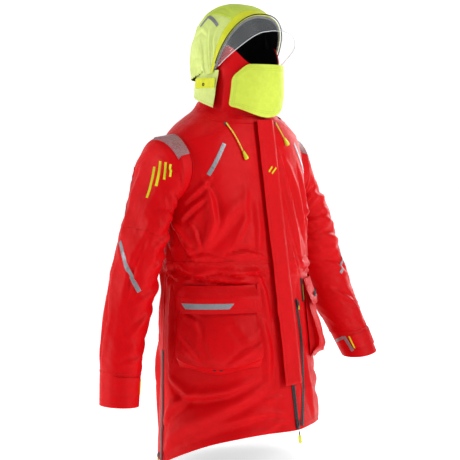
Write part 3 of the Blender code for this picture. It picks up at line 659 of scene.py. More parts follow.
def striped(name, colour, other, count, rough, axis="X", ratio=0.5):
    """Bands across a narrow trim, on the trim's own cloth map."""
    made, tree, shader = nodes_for(name)
    wave = woven_in(tree, "ShaderNodeTexWave", bands_direction=axis, Scale=count, Distortion=0.4)
    stripe = span(tree, wave, ratio - 0.12, ratio + 0.12, 0.0, 1.0)
    finish(tree, shader, Base_Color=mix(tree, stripe, tinted(colour), tinted(other)),
           Roughness=rough, Normal=bump(tree, wave, 0.4, 0.0004))
    return made


def reflective(name, colour, deep, cell, metal=0.35, rough=0.34):
    """Retroreflective tape: a fine cell pattern, silvery, with handling marks."""
    made, tree, shader = nodes_for(name)
    cells = woven_in(tree, "ShaderNodeTexVoronoi", feature="DISTANCE_TO_EDGE", Scale=1 / cell)
    marks = noise(tree, Scale=32.0, Detail=3.0, Distortion=0.4)
    edge = span(tree, cells, 0.0, 0.12, 0.0, 1.0)
    base = mix(tree, edge, tinted(deep), tinted(colour))
    finish(tree, shader,
           Base_Color=mix(tree, span(tree, marks, 0.4, 0.7, 0.0, 0.5), base, tinted(deep)),
           Roughness=span(tree, marks, 0.3, 0.7, rough - 0.08, rough + 0.14),
           Metallic=metal, Normal=bump(tree, edge, 0.25))
    return made


def moulded(name, colour, rough, metal=0.0, grain=220.0, coat=0.0, alpha=1.0):
    """Moulded plastic or cast metal with a fine grain and slightly worn colour."""
    made, tree, shader = nodes_for(name)
    grains = noise(tree, Scale=grain, Detail=3.0)
    marks = noise(tree, Scale=grain / 8, Detail=4.0)
    worn = span(tree, marks, 0.35, 0.65, 0.0, 0.35)
    finish(tree, shader, Base_Color=mix(tree, worn, tinted(colour), tinted(colour, 0.72)),
           Roughness=span(tree, marks, 0.3, 0.7, rough - 0.05, rough + 0.1),
           Metallic=metal, Coat_Weight=coat, Alpha=alpha, Normal=bump(tree, grains, 0.2))
    return made


def floor_material():
    """A pale floor, a little bright of itself, so that it stays near white."""
    made, tree, shader = nodes_for("pale_floor")
    marks = noise(tree, Scale=0.8, Detail=2.0)
    tone = mix(tree, marks, (0.86, 0.86, 0.865, 1), (0.90, 0.90, 0.90, 1))
    finish(tree, shader, Base_Color=tone, Roughness=0.9, Emission_Color=(1, 1, 1, 1),
           Emission_Strength=0.62)
    return made


def make_materials():
    red, deep = (0.74, 0.0008, 0.0040), (0.56, 0.0004, 0.0026)
    return {
        "red": cloth("red_shell", red, deep, 0.46, sheen=0.0, gloss=0.11),
        "red_thread": moulded("red_thread", (0.40, 0.004, 0.006), 0.7),
        "neon": cloth("neon_shell", (0.70, 0.84, 0.085), (0.63, 0.78, 0.070), 0.55),
        "neon_pale": cloth("neon_pale", (0.75, 0.88, 0.27), (0.69, 0.83, 0.22), 0.55),
        "neon_top": cloth("neon_top", (0.64, 0.80, 0.10), (0.57, 0.74, 0.08), 0.55),
        "neon_rim": cloth("neon_rim", (0.80, 0.83, 0.03), (0.72, 0.78, 0.02), 0.50),
        "neon_thread": moulded("neon_thread", (0.42, 0.55, 0.04), 0.7),
        "black": cloth("black_lining", (0.012, 0.012, 0.014), (0.007, 0.007, 0.009), 0.62, 0.0013),
        "coat": cloth("inner_coating", (0.020, 0.020, 0.023), (0.012, 0.012, 0.014), 0.55, 0.0016),
        "tape": reflective("reflective_tape", (0.34, 0.35, 0.38), (0.20, 0.21, 0.23), 0.0011),
        "patch": reflective("shoulder_mesh", (0.40, 0.24, 0.25), (0.27, 0.03, 0.035), 0.0034, 0.1,
                            0.45),
        "patch_edge": cloth("patch_edge", (0.36, 0.20, 0.21), (0.30, 0.15, 0.16), 0.6),
        "zip": striped("zip_tape", (0.010, 0.011, 0.012), (0.020, 0.022, 0.024), 900, 0.30, "Y"),
        "teeth": moulded("zip_teeth", (0.014, 0.015, 0.017), 0.35),
        "metal": moulded("slider_metal", (0.10, 0.10, 0.11), 0.32, 0.9),
        "cord": striped("cord", (0.80, 0.66, 0.055), (0.62, 0.70, 0.05), 700, 0.6, "Y"),
        "dark_cord": striped("dark_cord", (0.014, 0.014, 0.016), (0.05, 0.05, 0.055), 900, 0.7, "Y"),
        "neon_plastic": moulded("neon_plastic", (0.74, 0.78, 0.015), 0.38, coat=0.15),
        "yellow_print": cloth("yellow_print", (0.76, 0.80, 0.02), (0.70, 0.74, 0.02), 0.5,
                              weave=0.1, crease=0.1),
        "orange": cloth("orange_edge", (0.80, 0.42, 0.02), (0.70, 0.36, 0.02), 0.55),
        "elastic": striped("striped_elastic", (0.035, 0.036, 0.04), (0.34, 0.34, 0.35), 260, 0.7,
                           ratio=0.55),
        "hook": moulded("hook_tape", (0.012, 0.012, 0.013), 0.85, grain=900.0),
        "film": moulded("clear_film", (0.78, 0.82, 0.84), 0.12, alpha=0.08, coat=0.1),
        "film_edge": moulded("film_edge", (0.80, 0.83, 0.85), 0.25, alpha=0.75),
        "piping": cloth("black_piping", (0.02, 0.02, 0.022), (0.012, 0.012, 0.014), 0.6),
        "floor": floor_material(),
    }


# ---------------------------------------------------------------- meshes


def add_mesh(name, points, faces, materials, slots=None, uvs=None, sharp=42):
    points, faces = np.asarray(points, float), [tuple(int(i) for i in f) for f in faces]
    used = sorted({i for face in faces for i in face})
    where = {old: new for new, old in enumerate(used)}
    faces = [tuple(where[i] for i in face) for face in faces]
    mesh = bpy.data.meshes.new(name)
    mesh.from_pydata([tuple(points[i]) for i in used], [], faces)
    for item in materials:
        mesh.materials.append(item)
    if slots is not None:
        mesh.polygons.foreach_set("material_index", np.asarray(slots, np.int32))
    layer = mesh.uv_layers.new(name="cloth")
    if uvs is not None:
        flat = np.asarray(uvs, np.float32)[used]
        index = np.zeros(len(mesh.loops), np.int32)
        mesh.loops.foreach_get("vertex_index", index)
        layer.data.foreach_set("uv", flat[index].ravel())
    mesh.shade_smooth()
    mesh.set_sharp_from_angle(angle=math.radians(sharp))
    obj = bpy.data.objects.new(name, mesh)
    bpy.context.scene.collection.objects.link(obj)
    return obj


def grid_out(grid, closed=False):
    if closed:
        across = np.roll(grid, -1, 1) - np.roll(grid, 1, 1)
    else:
        across = np.gradient(grid, axis=1)
    return unit(np.cross(np.gradient(grid, axis=0), across))


def shell(name, grid, materials, thick=FABRIC, closed=False, inner=0, kinds=None, keep=None,
          flip=False):
    """A thin closed shell: grid is its outer face, rows down and columns to the wearer's left.
    kinds gives each outer face's material, and inner the inner face's."""
    grid = np.asarray(grid, float)
    if flip:
        grid = grid[:, ::-1]
        kinds = None if kinds is None else kinds[:, ::-1]
        keep = None if keep is None else keep[:, ::-1]
    rows, columns = grid.shape[:2]
    under = grid - grid_out(grid, closed) * thick
    count = rows * columns
    span_j = columns if closed else columns - 1
    i, j = np.meshgrid(np.arange(rows - 1), np.arange(span_j), indexing="ij")
    k = (j + 1) % columns
    above, below = i * columns, (i + 1) * columns
    quads = np.stack((above + j, below + j, below + k, above + k), -1)
    kinds = np.zeros(i.shape, int) if kinds is None else kinds
    mask = np.ones(i.shape, bool) if keep is None else keep
    quads, kinds = quads[mask], kinds[mask]
    edges = {}
    for face, kind in zip(quads.tolist(), kinds.tolist()):
        for a, b in zip(face, face[1:] + face[:1]):
            edges[(a, b)] = kind
    rim = [(a, b, kind) for (a, b), kind in edges.items() if (b, a) not in edges]
    rims = [(b, a, a + count, b + count) for a, b, _ in rim]
    back = quads[:, ::-1] + count
    faces = quads.tolist() + back.tolist() + rims
    slots = kinds.tolist() + [inner] * len(back) + [kind for _, _, kind in rim]
    u = np.concatenate(([0], np.cumsum(np.linalg.norm(np.diff(grid, axis=1), axis=2).mean(0))))
    v = np.concatenate(([0], np.cumsum(np.linalg.norm(np.diff(grid, axis=0), axis=2).mean(1))))
    uv = np.stack(np.broadcast_arrays(u[None, :], v[:, None]), -1).reshape(-1, 2)
    points = np.concatenate((grid.reshape(-1, 3), under.reshape(-1, 3)))
    return add_mesh(name, points, faces, materials, slots, np.concatenate((uv, uv)))


def tube_faces(rings, sides):
    """The faces of a tube made of rings of points, with both ends closed."""
    faces = [
        (i + j, i + (j + 1) % sides, i + sides + (j + 1) % sides, i + sides + j)
        for i in range(0, (rings - 1) * sides, sides) for j in range(sides)
    ]
    return faces + [tuple(range(sides))[::-1], tuple(range((rings - 1) * sides, rings * sides))]


def length_along(points):
    steps = np.linalg.norm(np.diff(points, axis=0), axis=1)
    return np.concatenate(([0], np.cumsum(steps)))


def outward(obj):
    shape = bmesh.new()
    shape.from_mesh(obj.data)
    bmesh.ops.recalc_face_normals(shape, faces=shape.faces)
    shape.to_mesh(obj.data)
    shape.free()
    return obj


def sided(points, out):
    ahead = np.gradient(points, axis=0)
    return unit(np.cross(out, ahead))


def band(name, points, out, half, thick, material, lift=0.0):
    """A flat band with softened edges along points; half is its half width."""
    points, out = np.asarray(points), np.asarray(out)
    shape = ((-1, 0.0), (-0.93, 0.85), (-0.5, 1.0), (0, 1.0), (0.5, 1.0), (0.93, 0.85), (1, 0.0),
             (0, -0.12))
    spots = [
        p + s * (a * half) + o * (lift + b * thick)
        for p, s, o in zip(points, sided(points, out), out) for a, b in shape
    ]
    faces = tube_faces(len(points), len(shape))
    uv = [(a * half, y) for y in length_along(points) for a, _ in shape]
    return outward(add_mesh(name, spots, faces, [material], None, uv, 50))


def rope(name, points, radius, material, sides=10):
    """A round tube along points, its radius a number or one for each point."""
    points = np.asarray(points, float)
    ahead = unit(np.gradient(points, axis=0))
    start = np.array((0.3, 0.2, 0.93))
    side = unit(np.cross(ahead, start))
    out = np.cross(side, ahead)
    radii = np.broadcast_to(radius, (len(points),))
    angles = spread(0, 2 * math.pi, sides + 1)[:-1]
    spots = [
        p + (s * math.cos(a) + o * math.sin(a)) * r
        for p, s, o, r in zip(points, side, out, radii) for a in angles
    ]
    faces = tube_faces(len(points), sides)
    uv = [(a * r, y + a * 0.0006) for y, r in zip(length_along(points), radii) for a in angles]
    return outward(add_mesh(name, spots, faces, [material], None, uv, 60))


def resampled(points, out, step):
    """The same path and directions, with points that are a step apart."""
    points, out = np.asarray(points, float), np.asarray(out, float)
    length = length_along(points)
    places = spread(0, length[-1], max(int(length[-1] / step), 1) + 1)
    return [
        np.stack([np.interp(places, length, values[:, c]) for c in range(3)], -1)
        for values in (points, out)
    ]


class Threads:
    """Sewn stitches, kept in groups that move together, each made into one mesh."""

    SHAPE = ((-0.5, 0, -0.1), (-0.28, 0.5, 0), (0.28, 0.5, 0), (0.5, 0, -0.1),
             (0.28, -0.5, 0), (-0.28, -0.5, 0), (-0.22, 0, 1), (0.22, 0, 1))
    FACES = ((0, 5, 6), (0, 6, 1), (1, 6, 7, 2), (5, 4, 7, 6), (3, 2, 7), (3, 7, 4), (0, 1, 2, 3, 4, 5))

    def __init__(self):
        self.groups = {}

    def sew(self, group, points, out, high=0.0005):
        length, pitch, width = 0.0031, 0.0046, 0.00075
        points, out = resampled(points, out, pitch)
        ahead = unit(np.gradient(points, axis=0))
        out = unit(out)
        side = np.cross(out, ahead)
        spots, faces = self.groups.setdefault(group, ([], []))
        for p, a, s, o in zip(points, ahead, side, out):
            faces += [tuple(len(spots) + i for i in face) for face in self.FACES]
            spots += [p + a * (x * length) + s * (y * width) + o * (z * high) for x, y, z in self.SHAPE]

    def make(self, name, group, material):
        spots, faces = self.groups[group]
        return outward(add_mesh(name, spots, faces, [material], sharp=80))


THREADS = Threads()


def path_on(place, a, b):
    """Points and outward directions along a path of a surface, place(a, b, off)."""
    a, b = np.broadcast_arrays(np.asarray(a, float), np.asarray(b, float))
    points = place(a, b, 0.0)
    return points, unit(place(a, b, 0.001) - points)


def settle(obj, body, slot, *nodes):
    """Have a piece ride on a body. When body is a blend of two, the piece is left fixed where it was
    built and does not bend.
    """
    if isinstance(body, str):
        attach(obj, body)
    if nodes:
        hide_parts(*nodes)
    if not isinstance(body, str):
        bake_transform(obj)
    return obj


def border(values, inset):
    """Values of a grid round a rectangle, inset from its edges."""
    i = inset
    sides = (values[i, i:-i], values[i:-i, -i - 1], values[-i - 1, i:-i][::-1], values[i:-i, i][::-1])
    return np.concatenate(sides)


# ---------------------------------------------------------------- body


def body_grid(turns, rows, off=0.0, top=None, rise=0.0):
    start = neck(turns) if top is None else np.full(turns.shape, top)
    share = spread(0.0, 1.0, rows)[:, None] ** 1.12
    return body_at(turns, start + (hem(turns) + rise - start) * share, off)


def not_in_armhole(grid):
    middle = (grid[:-1, :-1] + grid[1:, 1:]) / 2
    middle_y, middle_z, half_y, half_z = ARMHOLE
    ahead = (middle[..., 1] - middle_y) / (half_y - 0.008)
    away = np.hypot(ahead, (middle[..., 2] - middle_z) / (half_z - 0.008))
    return (away > 1) | (np.abs(middle[..., 0]) < 0.14)


def body():
    edge, seam = math.radians(0.6), math.radians(0.3)
    pieces = (
        ("front_panel_right", spread(-SIDE_SEAM + seam, -edge, 92)),
        ("front_panel_left", spread(edge, SIDE_SEAM - seam, 92)),
        ("back_panel", spread(SIDE_SEAM, 2 * math.pi - SIDE_SEAM, 120)),
    )
    for name, turns in pieces:
        grid = body_grid(turns, 200)
        obj = shell("cloth_" + name, grid, [M["red"], M["coat"]], inner=1, keep=not_in_armhole(grid))
        settle(obj, "torso", "red_shell", name)
    turns = spread(math.radians(12), math.radians(348), 130)
    grid = body_grid(turns, 70, -FABRIC - 0.0032, -0.235, 0.030)
    settle(shell("cloth_lining", grid, [M["black"]], LINING), "torso", "black_lining", "body_lining")
    # hem, waist, shoulder and side seams
    turns = spread(math.radians(1.5), math.radians(358.5), 260)
    for rise in (0.012, 0.0145):
        THREADS.sew("torso", *path_on(body_at, turns, hem(turns) + rise))
    turns = spread(math.radians(9.5), math.radians(350.5), 240)
    points, out = path_on(body_at, turns, WAIST)
    settle(band("waist_seam", points, out, 0.0030, 0.0008, M["red"], 0.0001), "torso", "red_shell")
    for rise in (0.0019, -0.0019):
        THREADS.sew("torso", *path_on(body_at, turns, WAIST + rise), high=0.0014)
    for side, name in SIDE_NAME.items():
        points, out = path_on(body_at, side * SIDE_SEAM, spread(-0.215, -0.540, 90))
        seam = band(f"side_seam_{name}", points, out, 0.0028, 0.0008, M["red"])
        settle(seam, "torso", "red_shell")
        z = spread(-0.545, float(hem(side * SIDE_SEAM)) + 0.004, 60)
        for shift in (-2.6, 2.6):
            THREADS.sew("torso", *path_on(body_at, side * (SIDE_SEAM + math.radians(shift)), z))
        # yoke seam, from the neck over the shoulder's front to the armhole
        t = spread(0, 1, 50)
        turn = side * np.radians(34 + 40 * t)
        points, out = path_on(body_at, turn, neck(turn) - 0.012 - 0.052 * t)
        seam = band(f"yoke_seam_{name}", points, out, 0.0026, 0.0006, M["red"])
        settle(seam, "torso", "red_shell")
        THREADS.sew("torso", points, out, high=0.0012)
        if side < 0:
            # the seam down beside the front closure
            z = spread(-0.05, -0.700, 150)
            THREADS.sew("torso", *path_on(front_at, -0.046 - 0.006 * np.sin((z + 0.05) * 6), z))
    t = spread(0, 1, 60)
    turn = np.radians(120 + 120 * t)
    points, out = path_on(body_at, turn, -0.150 - 0.020 * np.cos((t - 0.5) * math.pi))
    settle(band("back_yoke_seam", points, out, 0.0028, 0.0007, M["red"]), "torso", "red_shell")
    THREADS.sew("torso", points, out, high=0.0013)


# ---------------------------------------------------------------- sleeves


def sleeve_band(side, name, start, end, half, material, lift=0.0004, thick=TRIM):
    """A trim on a sleeve from start to end, each (along, angle in degrees)."""
    t = spread(0, 1, 40)
    along = start[0] + (end[0] - start[0]) * t
    angle = np.radians(start[1] + (end[1] - start[1]) * t)
    points, out = path_on(partial(sleeve_at, side), along, angle)
    return band(name, points, out, half, thick, material, lift)


def sleeves():
    for side, name in SIDE_NAME.items():
        upper_blend, lower_blend = UPPER_BLEND[side], LOWER_BLEND[side]
        angles = spread(0, 2 * math.pi, 105)[:-1]
        upper = np.concatenate((spread(-0.06, 0, 9)[:-1], spread(0, ELBOW_AT, 72)))
        lower = spread(ELBOW_AT + 0.0006, 1.0, 92)
        for part, along, blend in (("upper", upper, upper_blend), ("lower", lower, lower_blend)):
            grid = sleeve_at(side, along[:, None], angles)
            obj = shell(f"cloth_sleeve_{name}_{part}", grid, [M["red"], M["coat"]], closed=True,
                        inner=1, flip=side < 0)
            settle(obj, blend, "red_shell", f"sleeve_{name}_{part}")
        grid = sleeve_at(side, spread(0.66, 0.985, 40)[:, None], angles[::2], -FABRIC - 0.0012)
        obj = shell(f"lining_cuff_{name}", grid, [M["black"]], LINING, closed=True, flip=side < 0)
        settle(obj, f"sleeve_{name}_lower", "black_lining", f"cuff_lining_{name}")
        # armhole and cuff seams
        place = partial(sleeve_at, side)
        turn = spread(0, 2 * math.pi, 150)
        points, out = path_on(place, -0.052, turn)
        obj = band(f"armhole_seam_{name}", points, out, 0.0030, 0.0011, M["red"], -0.0002)
        settle(obj, upper_blend, "red_shell")
        for along in (0.012, 0.02):
            THREADS.sew(f"{name}_upper", *path_on(place, along, turn))
        for along in (0.885, 0.892, 0.982):
            THREADS.sew(f"{name}_lower", *path_on(place, along, turn))
        points, out = path_on(place, 0.8885, turn)
        obj = band(f"cuff_seam_{name}", points, out, 0.0022, 0.0008, M["red"])
        settle(obj, f"sleeve_{name}_lower", "red_shell")
        # the seam down the back of the sleeve
        for part, down, blend in (
            ("forearm", spread(ELBOW_AT + 0.002, 0.98, 100), lower_blend),
            ("upper_arm", spread(0.03, ELBOW_AT - 0.002, 80), upper_blend),
        ):
            points, out = path_on(place, down, math.radians(62))
            obj = band(f"{part}_seam_{name}", points, out, 0.0025, 0.0007, M["red"])
            settle(obj, blend, "red_shell")
        ends = ((0.50, 14), (0.625, -72)) if side < 0 else ((0.50, -4), (0.638, -102))
        tape = sleeve_band(side, f"reflector_sleeve_{name}", *ends, 0.0052, M["tape"], 0.0005)
        settle(tape, lower_blend, "reflective_tape", f"sleeve_tape_{name}")
        shoulder_patch(side, name)
        cuff_tab(side, name)
    sleeve_marks()


def shoulder_patch(side, name):
    """A reflective mesh patch on the shoulder, with a sewn edge."""
    n, m, edge = 46, 60, 3
    u, v = spread(0, 1, n)[:, None], spread(0, 1, m)
    bow = 1 - 0.10 * (2 * v - 1) ** 2
    along = -0.054 + 0.104 * u * bow + 0.020 * u * (0.5 - v)
    angle = np.radians(-62 + (68 + 8 * u) * v)
    grid = sleeve_at(side, along, angle, 0.0014)
    kinds = np.ones((n - 1, m - 1), int)
    kinds[edge:-edge, edge:-edge] = 0
    obj = shell(f"mesh_patch_{name}", grid, [M["patch"], M["patch_edge"]], TRIM, kinds=kinds,
                flip=side > 0)
    settle(obj, UPPER_BLEND[side], "shoulder_mesh", f"shoulder_patch_{name}")
    THREADS.sew(f"{name}_upper", border(grid, 2), border(grid_out(grid), 2) * side)


def cuff_tab(side, name):
    free = -130 if side < 0 else -166
    n, m = 26, 60
    v = spread(0, 1, m)
    narrow = 1 - 0.16 * ease((v - 0.78) / 0.22) ** 2
    along = 0.93 + spread(-1, 1, n)[:, None] * 0.032 * narrow
    angle = np.radians(-40 + (free + 40) * v)
    grid = sleeve_at(side, along, angle, 0.0030 + 0.0006 * np.sin(v * 9))
    kinds = np.zeros((n - 1, m - 1), int)
    kinds[:, -5 if side < 0 else -2:] = 1
    obj = shell(f"cloth_cuff_tab_{name}", grid, [M["red"], M["yellow_print"]], 0.0016,
                kinds=kinds, flip=side > 0)
    settle(obj, f"cuff_tab_{name}", "red_shell", f"cuff_tab_{name}")
    out = grid_out(grid) * side
    for place in (3, -4, (slice(3, -3), -7), (slice(3, -3), 5)):
        THREADS.sew(f"{name}_tab", grid[place], out[place])
    if side > 0:
        strips = (((0.930, -222), (0.907, -182)), ((0.904, -180), (0.970, -174)))
        for number, (start, end) in enumerate(strips):
            strip = sleeve_band(1, f"reflector_cuff_{number}", start, end, 0.0040, M["tape"])
            settle(strip, "sleeve_left_lower", "reflective_tape")


def sleeve_marks():
    """Plain slanted yellow bars on the right upper arm."""
    bars = ((0.155, 0.230, -52), (0.180, 0.275, -40), (0.205, 0.325, -28), (0.240, 0.370, -17))
    for number, (start, end, angle) in enumerate(bars):
        bar = sleeve_band(-1, f"mark_sleeve_{number}", (start, angle), (end, angle - 8), 0.0050,
                          M["yellow_print"], 0.0002, 0.0004)
        settle(bar, UPPER_BLEND[-1], "neon_plastic")


# ---------------------------------------------------------------- collar, guard and hood


def collar():
    edge = math.radians(0.3)
    turns = spread(edge, 2 * math.pi - edge, 200)
    v = spread(1, 0, 44)[:, None]
    obj = shell("cloth_collar", collar_at(turns, v), [M["red"], M["black"]], inner=1)
    settle(obj, "torso", "red_shell", "collar")
    grid = collar_at(turns, v * 0.996, -FABRIC - 0.0006)
    lining = shell("fleece_collar", grid, [M["black"]], LINING)
    settle(lining, "torso", "black_lining", "collar_lining")
    for height in (0.955, 0.935):
        THREADS.sew("torso", *path_on(collar_at, turns, height))
    # the shoulder cloth runs up to the collar's foot
    t = spread(0, 1, 14)[:, None]
    foot = collar_at(turns[None, :], 0.03, 0.0012)
    shoulder = body_at(turns[None, :], neck(turns) - 0.010, 0.0008)
    join = foot * (1 - t[..., None]) + shoulder * t[..., None]
    join[..., 2] -= 0.0035 * np.sin(np.pi * t)
    obj = shell("cloth_neck_join", join, [M["red"], M["coat"]], 0.0012, inner=1)
    settle(obj, "torso", "red_shell")
    points, out = path_on(collar_at, np.radians(spread(2, 358, 200)), 0.035)
    settle(band("neck_seam", points, out, 0.0026, 0.0010, M["red"]), "torso", "red_shell")


def rounded_corners(u, radius):
    """How far in, from 0 to 1, an edge has to move near its ends, for round corners."""
    near = np.clip(np.minimum(u, 1 - u) / radius, 0, 1)
    return 1 - np.sqrt(np.clip(1 - (1 - near) ** 2, 0, 1))


def face_guard():
    low, high = math.radians(-59), math.radians(64)
    u = spread(0, 1, 110)
    turn = low + (high - low) * u
    share = np.abs(turn) / high
    top = 0.124 - 0.030 * ease((share - 0.55) / 0.45) - 0.010 * rounded_corners(u, 0.05)
    bottom = 0.001 + 0.026 * ease(share) + 0.008 * rounded_corners(u, 0.05)
    v = spread(1, 0, 54)[:, None]
    z = bottom + (top - bottom) * v
    edge = ease(np.minimum(np.minimum(u, 1 - u) / 0.05, np.minimum(v, 1 - v) / 0.08))
    wave = 0.0016 * wander(u * 5, v * 3, 71) + 0.0006 * crumple(u * 5 + 2, v * 4, 73, 3)
    grid = ring(FACE_GUARD, turn, z, (0.0012 + wave) * edge)
    obj = shell("cloth_face_guard", grid, [M["neon"], M["coat"]], inner=1)
    settle(obj, "face_guard", "neon_shell", "face_guard")
    for inset in (4, 6):
        THREADS.sew("guard", border(grid, inset), border(grid_out(grid), inset))


def hood():
    along = np.concatenate((spread(0, 0.12, 16)[:-1], spread(0.12, 1.0, 120)))[:, None]
    across = spread(-1, 1, 190)[None, :]
    grid = hood_at(along, across)
    grid[..., 2] -= hood_drop(along)
    a, c = (along[:-1] + along[1:]) / 2, (across[:, :-1] + across[:, 1:]) / 2
    kinds = np.where(a < 0.10, 2, np.where(np.abs(c) < 0.40, 1, 0))
    finishes = [M["neon_pale"], M["neon_top"], M["neon_rim"], M["coat"]]
    obj = shell("cloth_hood", grid, finishes, inner=3, kinds=kinds, flip=True)
    settle(obj, HOOD_BLEND, "neon_shell", "hood_shell")
    grid = hood_at(spread(0.03, 1.0, 70)[:, None], spread(-0.975, 0.975, 110), -FABRIC - 0.0020)
    lining = shell("lining_hood", grid, [M["black"]], LINING, flip=True)
    settle(lining, HOOD_BLEND, "black_lining", "hood_lining")
    a = spread(0.10, 0.97, 110)
    for c in (-0.40, 0.40, -0.385, 0.385, -0.415, 0.415):
        points, out = path_on(hood_at, a, c)
        points[:, 2] -= hood_drop(a)
        if abs(c) == 0.40:
            name = f"hood_seam_{'right' if c < 0 else 'left'}"
            settle(band(name, points, out, 0.0022, 0.0007, M["neon"]), HOOD_BLEND, "neon_shell")
        else:
            THREADS.sew("hood", points, out)
    for a in (0.012, 0.10):
        THREADS.sew("hood", *path_on(hood_at, a, spread(-0.985, 0.985, 160)))
    hood_trims()


def hood_trims():
    # ruched elastic inside the opening's edge
    c = spread(-0.98, 0.98, 420)
    edge = hood_at(0.0, c, -0.0056, False) + np.array((0, -0.0012, 0))
    ruche = 0.0026 + 0.0007 * np.sin(c * 190) + 0.0002 * wander(c * 60, c * 0, 81)
    elastic = rope("ruched_elastic", edge, ruche, M["elastic"])
    settle(elastic, "hood", "striped_elastic", "hood_elastic")
    visor()
    # volume tab and the chevron
    t = spread(0, 1, 26)
    points, out = path_on(hood_at, 0.66 + 0.13 * t, -0.33)
    tab = band("hood_volume_strap", points, out, 0.0062, 0.0016, M["neon_rim"], 0.0016)
    settle(tab, "hood", "neon_shell", "hood_volume_tab")
    for shift in (-0.0042, 0.0042):
        THREADS.sew("hood", points + sided(points, out) * shift + out * 0.0026, out)
    arms = ((0.505, -0.54, 0.405, -0.435), (0.410, -0.436, 0.205, -0.560))
    for number, (a0, c0, a1, c1) in enumerate(arms):
        points, out = path_on(hood_at, a0 + (a1 - a0) * t, c0 + (c1 - c0) * t)
        stripe = band(f"hood_chevron_{number}", points, out, 0.0042, 0.0006, M["tape"], 0.0003)
        settle(stripe, "hood", "reflective_tape")


def visor_point(c, v):
    start = hood_at(0.0, c, 0.0022, False) + np.array((0, -0.0005, 0))
    reach = BROW * (1 - np.abs(c / 0.96) ** 3.5) * v
    fall = 0.95 - 0.55 * np.abs(c)
    ahead = unit(np.stack((0 * c, -1 + 0 * c, -fall), -1))
    wave = 0.0012 * wander(c * 7, v * 3, 91) * v
    return start + reach[..., None] * ahead + np.stack((0 * c, 0 * c, wave), -1)


def visor():
    c, v = np.meshgrid(spread(-0.93, 0.93, 120), spread(1, 0, 24))
    obj = shell("film_visor", visor_point(c, v), [M["film"]], 0.0008, flip=True)
    settle(obj, "hood", "clear_film", "hood_visor")
    c = spread(-0.90, 0.90, 120)
    rim = visor_point(c, np.ones(c.shape))
    settle(rope("film_edge", rim, 0.0009, M["film_edge"], 8), "hood", "clear_film")
    sewn = visor_point(c, np.full(c.shape, 0.03)) + np.array((0, 0, 0.0012))
    settle(rope("visor_piping", sewn, 0.0013, M["piping"], 8), "hood", "black_lining")


def hood_neck():
    turn, v = np.meshgrid(np.radians(spread(76, 284, 150)), spread(1, 0, 44))
    bottom = neck(turn) + 0.010
    z = bottom + (0.112 - bottom) * v
    pleat = 0.0022 * crumple(np.degrees(turn) / 9, v * 1.5, 95, 2) * (0.3 + 0.7 * v)
    off = 0.0080 + 0.0058 * ease((1 - v) / 0.5) + pleat * ease((1 - v) / 0.3)
    grid = ring(COLLAR, turn, z, off)
    obj = shell("cloth_hood_stand", grid, [M["neon_pale"], M["coat"]], inner=1)
    settle(obj, "torso", "neon_shell", "hood_neck")
    out = grid_out(grid)
    THREADS.sew("neon_torso", grid[-4], out[-4])
    THREADS.sew("neon_torso", grid[2:-2, 3], out[2:-2, 3])
    turn, z = np.meshgrid(np.radians(spread(246, 283, 40)), spread(0.093, 0.069, 20))
    grid = ring(COLLAR, turn, z, 0.0172 + 0.0006 * np.sin(turn * 40))
    tab = shell("cloth_hood_tab", grid, [M["neon_rim"]], 0.0016)
    settle(tab, "torso", "neon_shell", "hood_adjuster_tab")
    out = grid_out(grid)
    for i in (2, -3):
        THREADS.sew("neon_torso", grid[i], out[i])
    # the cord lock's eye on the tab
    middle, facing = grid[12, 22], out[12, 22]
    eye = eyelet("hood_tab_eye", middle + facing * 0.0003, facing, 0.0036, 0.0017, M["piping"])
    settle(eye, "torso", "black_lining")


def eyelet(name, place, out, wide, hole, material):
    """A dished ring round a hole."""
    profile = ((hole, 0.0), (hole * 1.05, 0.0008), ((wide + hole) / 2, 0.0013), (wide, 0.0005),
               (wide, 0.0))
    out = unit(np.asarray(out, float))
    side = unit(np.cross(out, np.array((0.1, 0.2, 1.0))))
    other = np.cross(out, side)
    spots, faces = [], []
    n, m = 28, len(profile)
    for angle in spread(0, 2 * math.pi, n + 1)[:-1]:
        ray = side * math.cos(angle) + other * math.sin(angle)
        spots += [place + ray * r + out * h for r, h in profile]
    for i in range(n):
        for j in range(m):
            a, b = i * m, ((i + 1) % n) * m
            faces.append((a + j, a + (j + 1) % m, b + (j + 1) % m, b + j))
    return outward(add_mesh(name, spots, faces, [material], sharp=60))


# ---------------------------------------------------------------- closures


def zip_strip(name, points, out, half, *nodes):
    """A coated zip: two tape halves meeting over the coil, with the coil's teeth just showing."""
    side = sided(points, out)
    for number, sign in enumerate((-1, 1)):
        middle = points + side * (sign * half * 0.52)
        obj = band(f"{name}_half_{number}", middle, out, half * 0.47, 0.0011, M["zip"], 0.0006)
        settle(obj, "torso", "zip_tape", *(nodes if number == 0 else ()))
    near, facing = resampled(points, out, 0.0026)
    across = sided(near, facing)
    spots, faces = [], []
    for i, (p, o, s) in enumerate(zip(near, unit(facing), across)):
        ahead = np.cross(s, o)
        n = len(spots)
        shift = 0.0004 * (1 if i % 2 else -1)
        for x in (-0.0011, 0.0011):
            for y in (-0.0007, 0.0007):
                for h in (0.0004, 0.0021):
                    spots.append(p + s * (x + shift) + ahead * y + o * h)
        for face in ((0, 1, 3, 2), (4, 6, 7, 5), (0, 4, 5, 1), (2, 3, 7, 6), (0, 2, 6, 4), (1, 5, 7, 3)):
            faces.append(tuple(n + k for k in face))
    teeth = outward(add_mesh(f"{name}_teeth", spots, faces, [M["teeth"]], sharp=30))
    settle(teeth, "torso", "zip_tape")


def middle_of(node):
    low, high = (np.array(corner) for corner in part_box(node))
    return (low + high) / 2


